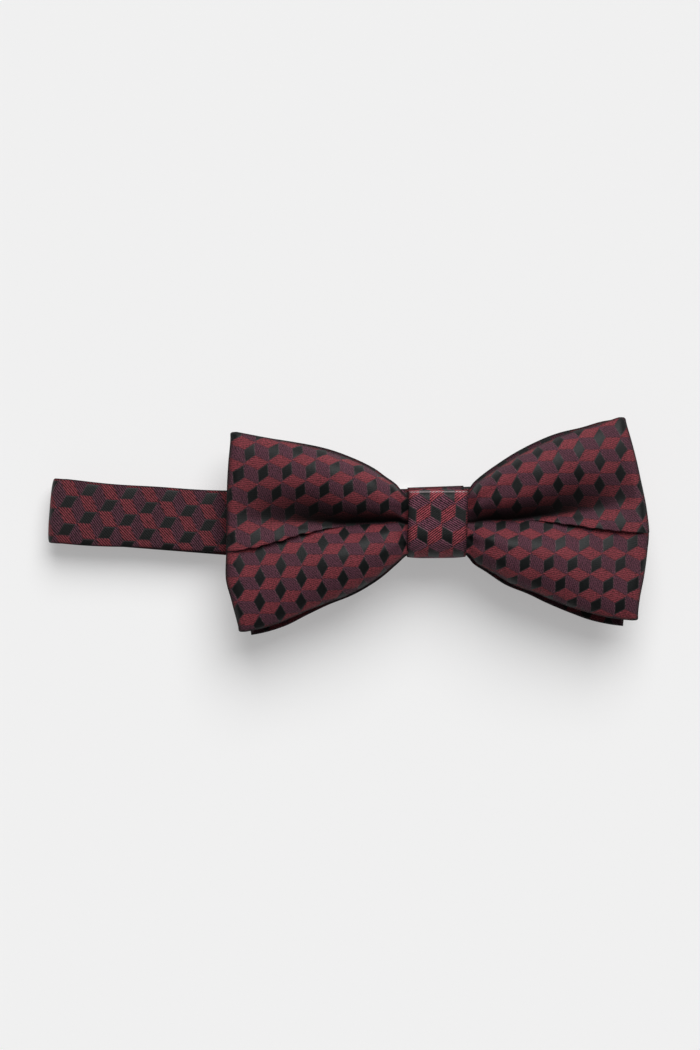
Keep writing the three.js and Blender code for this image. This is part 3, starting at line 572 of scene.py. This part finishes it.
def front_bow_mesh():
    """The front bow is one loop of a thick strip. Its rows run from the join behind the knot along one back, round
    the tip, over the front of both wings and back; each row's ring runs over the outer face and returns under."""
    sizes = bpy.context.scene.bow_tie_bow
    ply = sizes.ply / MM
    v = wing_columns()
    wings = []
    for side in (-1, 1):
        radius = wing_height(0 * v + TIP_AT, v, side)[None, :] / 2
        tip = through(v, OUTER_EDGE[side])[None, :] - radius - ply / 2 + 0.5 * v[None, :] ** 24
        share = np.concatenate([np.linspace(0, 0.14, 9)[:-1], np.linspace(0.14, 1, FRONT_ROWS - 8)])[:, None]
        x = share * tip
        back = BACK_Z - BACK_FALL * share ** 2
        gap = wing_height(x, v[None, :] + 0 * x, side)
        front = np.stack([x, wing_place(x, v[None, :], side), back + gap], -1)
        out = np.broadcast_to(UP, front.shape)
        radius = gap[-1:, :] / 2
        angle = np.linspace(0, math.pi, TURN_ROWS + 2)[1:, None]
        curl = np.stack([tip + radius * np.sin(angle), np.repeat(front[-1:, :, 1], len(angle), 0),
                         back[-1, 0] + radius * (1 + np.cos(angle))], -1)
        curl_out = np.stack([np.sin(angle) + 0 * tip, 0 * angle + 0 * tip, np.cos(angle) + 0 * tip], -1)
        home = np.linspace(1, 0, BACK_ROWS + 1)[1:, None]
        bx = 0.5 + home * (tip - 0.5)
        blind = np.stack([bx, wing_place(bx, v[None, :], side), BACK_Z - BACK_FALL * home ** 2 + 0 * bx], -1)
        blind_out = np.broadcast_to(-UP, blind.shape)
        middle = np.concatenate([front, curl, blind])
        out = np.concatenate([out, curl_out, blind_out])
        wings.append((middle * [side, 1, 1], out * [side, 1, 1]))
    middle = np.concatenate([wings[0][0][::-1], wings[1][0][1:]])
    out = np.concatenate([wings[0][1][::-1], wings[1][1][1:]])
    home_row = len(wings[0][0]) - 1

    # Thickness: full inside, rounded off to nothing at both edges and at both ends of the strip.
    thick = ply / 2 * rounding(to_long_edges(middle), ply * EDGE_ROLL)
    thick[0] = thick[-1] = 0
    outer = middle + out * thick[:, :, None]
    inner = middle - out * thick[:, :, None]
    points = np.concatenate([outer, inner[:, ::-1]], axis=1)
    return points, middle, outer, home_row


def bow_cloth(middle, outer, home_row):
    """Cloth coordinates of the front bow for its top and bottom panels. Along the strip they follow the mean length
    of the rows on the fronts, and each column's own length round the tips and on the backs. Across, they are the
    height of the panel's crest plus the length travelled from it."""
    along = run_length(middle, 0)
    along = along - along[home_row]
    x = middle[:, :, 0]
    length = x + (along.mean(1) - x.mean(1))[:, None]
    for side in (-1, 1):
        last = home_row + side * (FRONT_ROWS - 1)
        rows = slice(0, last) if side < 0 else slice(last + 1, None)
        length[rows] = length[last] + along[rows] - along[last]
    down = run_length(outer, 1)
    v = wing_columns()
    height = {}
    for upper, crest in ((True, UPPER_CREST_AT), (False, LOWER_CREST_AT)):
        c = int(np.argmin(np.abs(v - crest)))
        height[upper] = middle[:, c:c + 1, 1] - (down - down[:, c:c + 1])
    return length, height


def panel_cloth(length, height, where, at, angle):
    """Cloth coordinates of one panel, laid so that the grid point nearest to a place has that place's own
    coordinates, then turned into the weave's frame with a dark diamond's middle on the place."""
    cloth = np.stack([length - length[where] + at[0], height - height[where] + at[1]], -1)
    return turned(cloth, angle, at)


PANELS = {  # (side, upper): direction of the red diamonds in degrees, and the middle of one dark diamond
    (-1, True): (2.0, (-38.1, 10.65)),
    (-1, False): (26.8, (-38.5, -7.3)),
    (1, True): (27.7, (34.5, 10.1)),
    (1, False): (-2.0, (37.3, -12.5)),
}


def build_front_bow():
    """The looped bow of two wings: its mesh, with each panel's cloth laid in its own direction."""
    points, middle, outer, home = front_bow_mesh()
    rows, columns = middle.shape[:2]
    split = int(np.argmax(wing_columns() < 0))
    length, height = bow_cloth(middle, outer, home)
    panels = {}
    for (side, upper), (angle, at) in PANELS.items():
        on_front = out_front(rows, home, side)[:, None]
        far = np.linalg.norm(middle[:, :, :2] - np.array(at), axis=-1) + np.where(on_front, 0, 1e3)
        where = np.unravel_index(np.argmin(far), far.shape)
        panels[side, upper] = panel_cloth(length, height[upper], where, at, angle)
    side_of = np.where(np.arange(rows - 1) < home, -1, 1)
    i, j = np.meshgrid(np.arange(rows - 1), np.arange(2 * columns), indexing="ij")
    a, b = (np.where(c < columns, c, 2 * columns - 1 - c) for c in (j, (j + 1) % (2 * columns)))
    is_upper = np.minimum(a, b) < split
    corners = np.zeros((rows - 1, 2 * columns, 4, 2))
    for (side, upper), cloth in panels.items():
        chosen = (side_of[:, None] == side) & (is_upper == upper)
        corners[chosen] = np.stack([cloth[i, a], cloth[i + 1, a], cloth[i + 1, b], cloth[i, b]], axis=2)[chosen]
    # Painted shade along the cut edges and tips, and deep in the fold between the bulges.
    shade = np.maximum(edge_shade(middle), valley_shade(middle, home))
    made = sew("front_bow", points, None, look_of("silk"), both_faces(shade), corner_cloth=corners)
    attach(made, "bow")
    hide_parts("front_bow_fabric", "front_bow_interlining")


def out_front(rows, home, side):
    """True for the rows of one wing's front."""
    away = (np.arange(rows) - home) * side
    return (away >= 0) & (away < FRONT_ROWS)


def edge_shade(middle):
    """Painted shade along the cut edges and round the tips, where the cloth rolls under out of the light."""
    x = middle[:, :, 0]
    to_tip = np.minimum(x - x.min(0), x.max(0) - x)
    return np.exp(-(np.minimum(to_long_edges(middle), to_tip) / 0.45) ** 2)


def valley_shade(middle, home):
    """Painted shade deep in the fold between a wing's two bulges, strongest by the knot and gone near the tip."""
    rows = middle.shape[0]
    x = np.abs(middle[:, :, 0])
    v = wing_columns()[None, :]
    dip = through(x, VALLEY_PLACE)
    deep = np.exp(-np.where(v > dip, (v - dip) / 0.27, (dip - v) / 0.045) ** 2)
    fronts = (out_front(rows, home, -1) | out_front(rows, home, 1))[:, None]
    return deep * through(x, VALLEY_SHADE) * fronts


# ---- Rear bow
REAR_REACH = {-1: 55.4, 1: 53.4}
REAR_DROP_SHARE = {-1: 0.55, 1: 0.85}
REAR_BOW_CURVE = 1.6  # how far the middle of its ends stands out past their corners


def build_rear_bow():
    """The rear bow is one flat sewn strip of the same outline, a little shorter and lower."""
    sizes = bpy.context.scene.bow_tie_bow
    ply, drop = sizes.ply / MM, sizes.rear_drop / MM
    v = wing_columns()
    halves = []
    for side, reach in REAR_REACH.items():
        share = np.linspace(0, 1, 60)[:, None]
        x = share * (reach - REAR_BOW_CURVE * v[None, :] ** 2)
        y = wing_place(x * TIP_AT / (reach - REAR_BOW_CURVE), v[None, :], side)
        y = y - drop * REAR_DROP_SHARE[side] * eased((x - 30) / 24)
        halves.append(np.stack([side * x, y, REAR_Z - BACK_FALL * share ** 2 + 0 * x], -1))
    middle = np.concatenate([halves[0][::-1], halves[1][1:]])
    to_tip = np.minimum(np.abs(middle[:, :, 0] - middle[:1, :, 0]), np.abs(middle[:, :, 0] - middle[-1:, :, 0]))
    to_edge = np.minimum(to_long_edges(middle), to_tip)
    lift = UP * (ply / 2 * rounding(to_edge, ply * EDGE_ROLL))[..., None]
    points = np.concatenate([middle + lift, (middle - lift)[:, ::-1]], axis=1)
    flat = np.concatenate([middle[:, :, :2], middle[:, ::-1, :2], middle[:, :1, :2]], axis=1)
    cloth = turned(flat, 27.7, (30.0, -12.0))
    # Painted shade along the rear bow's edges, where it lies under the front bow.
    made = sew("rear_bow", points, cloth, look_of("silk"), both_faces(np.exp(-(to_edge / 0.7) ** 2)))
    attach(made, "bow")
    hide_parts("rear_bow_fabric", "rear_bow_interlining")


# ---- Straps: band, tails, keeper and wrap
BAND_WEAVE = (-30.2, (-87.9, -1.1))  # direction of the red diamonds, and the middle of one dark diamond
BAND_STRAIN = (1.058, 0.926)  # stretch of the pattern along the band and across it


def strap_section(width, thickness, power, columns=56):
    """Rounded flat section of a strap as offsets across and outwards, and the distance round it from the middle of
    its face: a superellipse with the given power, with a shallow groove along the sewn join at the back."""
    angle = np.linspace(-math.pi, math.pi, columns + 1)
    a = np.sign(np.sin(angle)) * np.abs(np.sin(angle)) ** (2 / power) * width / 2
    b = np.sign(np.cos(angle)) * np.abs(np.cos(angle)) ** (2 / power) * thickness / 2
    b = b + 0.22 * np.exp(-(a / 0.5) ** 2) * (b < 0)
    round_it = run_length(np.stack([a, b], -1), 0)
    return a[:-1], b[:-1], round_it - round_it[columns // 2]


def strap(name, centre, across, out, start=0.0, way=-1.0, narrower=0.0, thickness=None, power=2.7, wider=1.0):
    """A strap carried along a path: each ring is the section put at the path's point, across and outwards of it. It
    has the band's width less narrower, times wider. The weave starts at start and runs with or against the path."""
    sizes = bpy.context.scene.bow_tie_band
    width, thickness = sizes.width / MM - narrower, thickness or sizes.thickness / MM
    a, b, around = strap_section(width, thickness, power)
    run = run_length(centre, 0)
    ends = rounding(np.minimum(run, run[-1] - run), thickness * EDGE_ROLL)
    across, out = np.broadcast_to(across, centre.shape), np.broadcast_to(out, centre.shape)
    points = (centre[:, None] + across[:, None] * (a[None, :] * np.reshape(wider, (-1, 1)))[..., None]
              + out[:, None] * (b[None, :] * ends[:, None])[..., None])
    angle, anchor = BAND_WEAVE
    cloth = np.stack(np.broadcast_arrays((start + way * run)[:, None], around[None, :]), -1)
    cloth = turned((cloth - anchor) * BAND_STRAIN + anchor, angle, anchor)
    # Painted shade along the strap's two long edges, where it rolls under.
    shade = 0.85 * np.exp(-((width / 2 - np.abs(a)) / 0.32) ** 2)
    made = sew(name, points, cloth, look_of("band_silk"), shade)
    return made


def spread(*stops):
    """Places between stops, evenly spaced in each span: alternating stop, count, stop, count, stop."""
    parts = [np.linspace(stops[i], stops[i + 2], stops[i + 1] + 1)[:-1] for i in range(0, len(stops) - 1, 2)]
    return np.concatenate([*parts, [stops[-1]]])


def with_end(places, thickness, first=True, last=True):
    """Adds rows close to the ends of a run so that they can round off."""
    close = thickness * EDGE_ROLL * np.array([0.12, 0.4, 0.75, 1.0])
    direction = np.sign(places[-1] - places[0])
    rows = places
    if first:
        rows = np.concatenate([rows[:1], rows[0] + direction * close, rows[1:]])
    if last:
        rows = np.concatenate([rows[:-1], rows[-1] - direction * close[::-1], rows[-1:]])
    return rows


def band_line(x):
    """The band's middle line and its sideways direction: level through the keeper and on the right, and on the left
    a power curve that swings up to the fold."""
    share = np.clip((-x - LEVEL_REACH) / (BAND_LEFT - LEVEL_REACH), 0, None)
    y = BAND_MID_Y + BAND_SWEEP * share ** 1.6 + 0.12 * np.sin(x / 4.7) * eased((np.abs(x) - 24) / 10)
    y = y + BAND_LIFT * eased((60 - np.abs(x)) / 25)
    slope = -1.6 * BAND_SWEEP * share ** 0.6 / (BAND_LEFT - LEVEL_REACH)
    across = np.stack([-slope, 1 + 0 * x, 0 * x], -1)
    return np.stack([x, y, BAND_Z + 0 * x], -1), across / np.linalg.norm(across, axis=1, keepdims=True)


def tail_point(along, z):
    """A point of the left tail, by its distance from the left fold."""
    along = np.asarray(along, float)
    x, y = (TAIL_START[k] + TAIL_ALONG[k] * along for k in (0, 1))
    return np.stack([x, y, z + 0 * along], -1)


def turn_about(axis_point, out_dir, radius, first, last, count):
    """An arc in the plane of out_dir and up, from a first to a last angle off straight up towards out_dir, with its
    outward directions."""
    angle = np.radians(np.linspace(first, last, count))[:, None]
    out = np.sin(angle) * out_dir + np.cos(angle) * UP
    return axis_point + radius * out, out


def widened(centre):
    """Share of the band's usual width: a twentieth more where its upper length nears the left fold."""
    return 1 + 0.05 * eased((-centre[:, 0] - 84) / 22) * eased((centre[:, 2] - 5) / 3)


def build_neck_band():
    """The neck band's two sides with their folds: each runs out from under the knot, turns under and runs back."""
    thickness = bpy.context.scene.bow_tie_band.thickness / MM

    x = with_end(spread(0.0, 8, -20.0, 80, -BAND_LEFT), thickness, last=False)
    centre, across = band_line(x)
    radius = (BAND_Z - LEFT_TAIL_Z) / 2
    axis = tail_point(0.0, (BAND_Z + LEFT_TAIL_Z) / 2)
    fold, fold_out = turn_about(axis, -TAIL_ALONG, radius, 0, 180, 19)
    under = with_end(spread(0.0, 14, TAIL_SPLIT), thickness, first=False)[1:]
    centre = np.concatenate([centre[:-1], fold, tail_point(under, LEFT_TAIL_Z)])
    across = np.concatenate([across[:-1], [TAIL_ACROSS] * (len(fold) + len(under))])
    out = np.concatenate([[UP] * (len(x) - 1), fold_out, [-UP] * len(under)])
    left = strap("neck_band_left", centre, across, out, wider=widened(centre))
    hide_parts("upper_band_cover", "upper_band_interlining", "left_fold_cover")
    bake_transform(left)

    x = with_end(spread(0.0, 8, 20.0, 20, BAND_RIGHT), thickness, last=False)
    centre, across = band_line(x)
    radius = (BAND_Z - RIGHT_TAIL_Z) / 2
    axis = np.array([BAND_RIGHT, BAND_MID_Y, (BAND_Z + RIGHT_TAIL_Z) / 2])
    fold, fold_out = turn_about(axis, X_AXIS, radius, 0, 180, 21)
    under = spread(BAND_RIGHT, 36, -4.0)[1:-1]
    under = np.concatenate([under[:-1], with_end(np.array([under[-1], -4.2]), thickness, first=False)])
    tail = np.stack([under, BAND_MID_Y + 0 * under, RIGHT_TAIL_Z + 0 * under], -1)
    centre = np.concatenate([centre[:-1], fold, tail])
    across = np.concatenate([across[:-1], [Y_AXIS] * (len(fold) + len(tail))])
    out = np.concatenate([[UP] * (len(x) - 1), fold_out, [-UP] * len(tail)])
    right = strap("neck_band_right", centre, across, out, way=1.0)
    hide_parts("right_fold_cover", "right_tail_cover", "right_tail_interlining")
    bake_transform(right)


def build_tails():
    """The lengths that slide: the left tail to the hook, the doubled return to the slider, and the ends turned round
    the slider's and the eye's bars."""
    thickness = bpy.context.scene.bow_tie_band.thickness / MM
    run_to_split = BAND_LEFT + math.pi * (BAND_Z - LEFT_TAIL_Z) / 2 + TAIL_SPLIT + 0.25

    hook_radius = (RETURN_Z - LEFT_TAIL_Z) / 2
    tail_end = HOOK_AT - 0.7
    along = with_end(spread(TAIL_SPLIT, 40, tail_end), thickness)
    tail = strap("left_tail", tail_point(along, LEFT_TAIL_Z), TAIL_ACROSS, -UP, -run_to_split)
    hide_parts("left_tail_cover", "left_tail_interlining")
    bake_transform(tail)

    # The thin end round the hook's bar.
    axis = tail_point(HOOK_AT, (LEFT_TAIL_Z + RETURN_Z) / 2)
    bend, bend_out = turn_about(axis, TAIL_ALONG, hook_radius, 180, 0, 15)
    lead = np.array([tail_end - 0.6, tail_end + 0.2])
    centre = np.concatenate([tail_point(lead, LEFT_TAIL_Z), bend, tail_point(lead[::-1], RETURN_Z)])
    out = np.concatenate([[-UP] * 2, bend_out, [UP] * 2])
    hook_turn = strap("hook_turn_cloth", centre, TAIL_ACROSS, out, -run_to_split - 53, narrower=1.2, thickness=0.5,
                      power=4)
    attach(hook_turn, "hook_end")
    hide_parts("hook_turn")

    foot = SLIDER_AT + SLIDER_REACH
    along = with_end(spread(tail_end, 18, foot), thickness)
    back = strap("return_band", tail_point(along, RETURN_Z), TAIL_ACROSS, UP, -run_to_split - 56)
    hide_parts("return_band_cover", "return_band_interlining")
    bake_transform(back)

    turned_end("slider_turn", tail_point(SLIDER_AT, 0.0), TAIL_ALONG, TAIL_ACROSS, "slider", -run_to_split - 74)
    turned_end("eye_turn", np.array([EYE_X, BAND_MID_Y, 0.0]), X_AXIS, Y_AXIS, "right_tail", 125)


def turned_end(name, bar, along, across, body, start):
    """A band end that runs level to a bar, turns half round it and lies back over itself, as high as its node."""
    cloth = 0.45
    low, high = box_mm(name)
    middle = np.array([bar[0], bar[1], (low[2] + high[2]) / 2])
    radius = (high[2] - low[2]) / 2 - cloth / 2
    feet = np.array([2.3, 1.5, 0.8, 0.0])
    lead = middle + along * feet[:, None] - UP * radius
    bend, bend_out = turn_about(middle, -along, radius, 180, 0, 15)
    lap = with_end(np.linspace(0.6, radius + 6.2, 8), cloth, first=False)
    trail = middle + along * lap[:, None] + UP * radius
    centre = np.concatenate([lead[:-1], bend, trail])
    out = np.concatenate([[-UP] * (len(lead) - 1), bend_out, [UP] * len(trail)])
    made = strap(name + "_cloth", centre, across, out, start, narrower=2, thickness=cloth, power=4)
    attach(made, body)
    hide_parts(name)


def loop_round(half_y, low, high, corners, count=14):
    """Rounded rectangle in the YZ plane from the middle of its lower side round: four quarter arcs joined, the
    radii given for back top, front top, front bottom and back bottom."""
    arcs = []
    for corner, up, over, first in zip(corners, (1, 1, -1, -1), (-1, 1, 1, -1), (-90, 0, 90, 180)):
        a = np.radians(np.linspace(first, first + 90, count))
        centre_z = high - corner if over > 0 else low + corner
        arcs.append(np.stack([up * (half_y - corner) + corner * np.cos(a), centre_z + corner * np.sin(a)], -1))
    start = np.array([[0.0, low]])
    return np.concatenate([start, *arcs, start])


def band_loop(name, ring, half, thickness, crown, lean, middle_y, look, angle, anchor, body, rim=0.0):
    """A loop of cloth of a given thickness and half width round the X axis, skewed by lean: along per height, height
    per along. The ring is resampled evenly, moved in and out by half the thickness along its own normal, and each
    edge along X is rounded off. Its middle stands out by crown. It gets painted shade along both edges, and painted
    shade as strong as rim along its top and bottom bends."""
    xs = edge_rows(half, thickness)
    run = run_length(ring, 0)
    even = np.linspace(0, run[-1], 121)
    y, z = np.interp(even, run, ring[:, 0]), np.interp(even, run, ring[:, 1])
    tangent = np.stack([np.gradient(y), np.gradient(z)], -1)
    tangent /= np.linalg.norm(tangent, axis=1, keepdims=True)
    normal = np.stack([tangent[:, 1], -tangent[:, 0]], -1)
    normal[0] = normal[-1] = (0.0, -1.0)
    thick = thickness / 2 * rounding(half - np.abs(xs), thickness * 0.5)
    swell = crown * (1 - (xs / half) ** 4)
    sheets = []
    for way in (1, -1):
        lift = (swell + way * thick)[:, None]
        sheets.append(np.stack([xs[:, None] + 0 * y, y + normal[:, 0] * lift, z + normal[:, 1] * lift], -1))
    x, height, z = np.concatenate([sheets[0], sheets[1][::-1]]).transpose(2, 1, 0)
    points = np.stack([x + lean[0] * height, height + lean[1] * x + middle_y, z], -1)
    # Distance round the loop, nought at the middle of its face and rising towards +Y.
    round_it = run[-1] / 2 - even
    across = np.concatenate([xs, xs[::-1], xs[:1]])
    cloth = np.stack(np.broadcast_arrays(across[None, :], round_it[:, None]), -1)
    cloth = turned(cloth, angle, anchor)
    # Painted shade along both side edges, and as strong as rim along the top and bottom bends.
    at_edge = np.exp(-((half - np.abs(np.concatenate([xs, xs[::-1]]))) / 0.5) ** 2) * 0.8
    at_bend = np.exp(-((y.max() - np.abs(y)) / 0.35) ** 2) * rim
    shade = np.maximum(at_edge[None, :], at_bend[:, None])
    made = sew(name, points, cloth, look, shade)
    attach(made, body)
    return made


def edge_rows(half, thickness, count=18):
    """Places from -half to half, closer at both ends."""
    close = thickness * 0.5 * np.array([0.0, 0.08, 0.3, 0.6, 1.0])
    inner = np.linspace(-half + thickness * 0.5, half - thickness * 0.5, count)[1:-1]
    return np.concatenate([-half + close, inner, half - close[::-1]])


KNOT_CLOTH, KEEPER_CLOTH = 0.7, 0.26
KNOT_CORNERS = (3.4, 2.4, 6.6, 3.4)
KEEPER_HALF, KEEPER_GAP = 8.0, 0.08


def build_knot():
    """The wrap round the middle of the bow, and the keeper that holds it on the band."""
    sizes = bpy.context.scene.bow_tie_bow
    half_x, half_y = sizes.knot_width / MM / 2, sizes.knot_height / MM / 2
    ring = loop_round(half_y - KNOT_CLOTH / 2, KNOT_LOW + KNOT_CLOTH / 2, KNOT_HIGH - KNOT_CLOTH / 2 - 0.2,
                      KNOT_CORNERS)
    knot = band_loop("knot_cloth", ring, half_x, KNOT_CLOTH, 0.35, KNOT_LEAN, 0.0, look_of("knot_silk"),
                     58.5, (-0.55, 2.1), "bow")
    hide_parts("knot_wrap", "knot_interlining")

    low, high = box_mm("band_keeper")
    half_y = bpy.context.scene.bow_tie_band.width / MM / 2 + KEEPER_CLOTH + KEEPER_GAP
    ring = loop_round(half_y - KEEPER_CLOTH / 2, low[2] + KEEPER_CLOTH / 2, high[2] - KEEPER_CLOTH / 2, (1.2,) * 4)
    # The keeper gets painted shade along its top and bottom bends.
    keeper = band_loop("keeper_cloth", ring, KEEPER_HALF, KEEPER_CLOTH, 0.0, (0.0, 0.0), BAND_MID_Y + BAND_LIFT,
                       look_of("band_silk"), 12.0, (0.0, 0.0), "keeper", rim=0.9)
    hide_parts("band_keeper")


# ---- Stage
VIEW_AT = (-24.7, 0.6)
VIEW_HEIGHT = 296.5
LENS = 150.0
SENSOR = 36.0
VIEW_ROLL = 2.0
FACE_HEIGHT = 20.0  # level at which the view has that height
SUNS = (("window_light", 2.55, 46.0, (0.28, 1.0, 1.2)), ("ceiling_light", 0.35, 60.0, (0.2, 0.7, 1.0)))


def build_stage():
    """A pale table top, a sky of even light, two soft suns from beyond the bow's top edge, and the camera."""
    scene = bpy.context.scene
    bpy.ops.mesh.primitive_grid_add(x_subdivisions=2, y_subdivisions=2, size=6.0, location=(0, 0, 0))
    floor = bpy.context.object
    floor.name = "table"
    floor.data.materials.append(look_of("floor"))

    world = bpy.data.worlds.new("soft_sky")
    scene.world = world
    world.use_nodes = True
    background = world.node_tree.nodes["Background"]
    background.inputs["Color"].default_value = (1, 1, 1, 1)
    background.inputs["Strength"].default_value = 0.10

    for name, energy, spread_angle, towards in SUNS:
        sun = bpy.data.objects.new(name, bpy.data.lights.new(name, "SUN"))
        sun.data.energy = energy
        sun.data.angle = math.radians(spread_angle)
        sun.rotation_euler = Vector(towards).to_track_quat("Z", "Y").to_euler()
        scene.collection.objects.link(sun)

    camera = bpy.data.objects.new("camera", bpy.data.cameras.new("camera"))
    camera.data.lens = LENS
    camera.data.sensor_width = SENSOR
    camera.data.sensor_fit = "VERTICAL"
    camera.data.sensor_height = SENSOR
    height = VIEW_HEIGHT / SENSOR * LENS + FACE_HEIGHT
    camera.location = (VIEW_AT[0] * MM, VIEW_AT[1] * MM, height * MM)
    camera.rotation_euler = (0, 0, -math.radians(VIEW_ROLL))
    scene.collection.objects.link(camera)
    scene.camera = camera
    scene.view_settings.view_transform = "Standard"


def build_trimmings():
    """Thread and metal finishes for the frame's own sewing and hardware."""
    for node, key in (("centre_binding_thread", "thread"), ("knot_closing_stitches", "thread"),
                      ("slider_bartack", "thread"), ("eye_bartack", "thread"),
                      ("slider_frame", "nickel"), ("clasp_hook", "nickel"), ("clasp_eye", "nickel")):
        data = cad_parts[node].data
        data.materials.clear()
        data.materials.append(look_of(key))


# ---- Operators and panel
class BuildFrontBow(bpy.types.Operator):
    """Make the looped front bow"""
    bl_idname = "bow_tie.front_bow"
    bl_label = "Front bow"

    def execute(self, context):
        build_front_bow()
        return {"FINISHED"}


class BuildRearBow(bpy.types.Operator):
    """Make the flat rear bow"""
    bl_idname = "bow_tie.rear_bow"
    bl_label = "Rear bow"

    def execute(self, context):
        build_rear_bow()
        return {"FINISHED"}


class BuildKnot(bpy.types.Operator):
    """Make the knot's wrap and the keeper behind it"""
    bl_idname = "bow_tie.knot"
    bl_label = "Knot and keeper"

    def execute(self, context):
        build_knot()
        return {"FINISHED"}


class BuildNeckBand(bpy.types.Operator):
    """Make both sides of the neck band with their folds"""
    bl_idname = "bow_tie.neck_band"
    bl_label = "Neck band"

    def execute(self, context):
        build_neck_band()
        return {"FINISHED"}


class BuildTails(bpy.types.Operator):
    """Make the sliding tails and the ends turned round the hardware"""
    bl_idname = "bow_tie.tails"
    bl_label = "Tails"

    def execute(self, context):
        build_tails()
        return {"FINISHED"}


class BuildTrimmings(bpy.types.Operator):
    """Give the thread and the metal their finishes"""
    bl_idname = "bow_tie.trimmings"
    bl_label = "Trimmings"

    def execute(self, context):
        build_trimmings()
        return {"FINISHED"}


class BuildStage(bpy.types.Operator):
    """Make the table top, the light and the camera"""
    bl_idname = "bow_tie.stage"
    bl_label = "Stage"

    def execute(self, context):
        build_stage()
        return {"FINISHED"}


BUILD_STEPS = (BuildStage, BuildFrontBow, BuildRearBow, BuildKnot, BuildNeckBand, BuildTails, BuildTrimmings)


class BowTiePanel(bpy.types.Panel):
    """Sizes, colours and build steps of the bow tie"""
    bl_idname = "VIEW3D_PT_bow_tie"
    bl_label = "Bow tie"
    bl_space_type = "VIEW_3D"
    bl_region_type = "UI"
    bl_category = "Bow tie"

    def draw(self, context):
        for name in GROUPS:
            group = getattr(context.scene, name)
            for key in group.__annotations__:
                self.layout.prop(group, key)
        for step in BUILD_STEPS:
            self.layout.operator(step.bl_idname)


GROUPS = {"bow_tie_bow": BowSizes, "bow_tie_band": BandSizes, "bow_tie_colours": ClothColours}
CLASSES = (*GROUPS.values(), *BUILD_STEPS, BowTiePanel)


def register():
    for each in CLASSES:
        bpy.utils.register_class(each)
    for name, group in GROUPS.items():
        setattr(bpy.types.Scene, name, PointerProperty(type=group))


def unregister():
    for name in GROUPS:
        delattr(bpy.types.Scene, name)
    for each in reversed(CLASSES):
        bpy.utils.unregister_class(each)


def main():
    register()
    for step in BUILD_STEPS:
        group, name = step.bl_idname.split(".")
        getattr(getattr(bpy.ops, group), name)()
    bpy.context.view_layer.update()


if __name__ == "__main__":
    main()
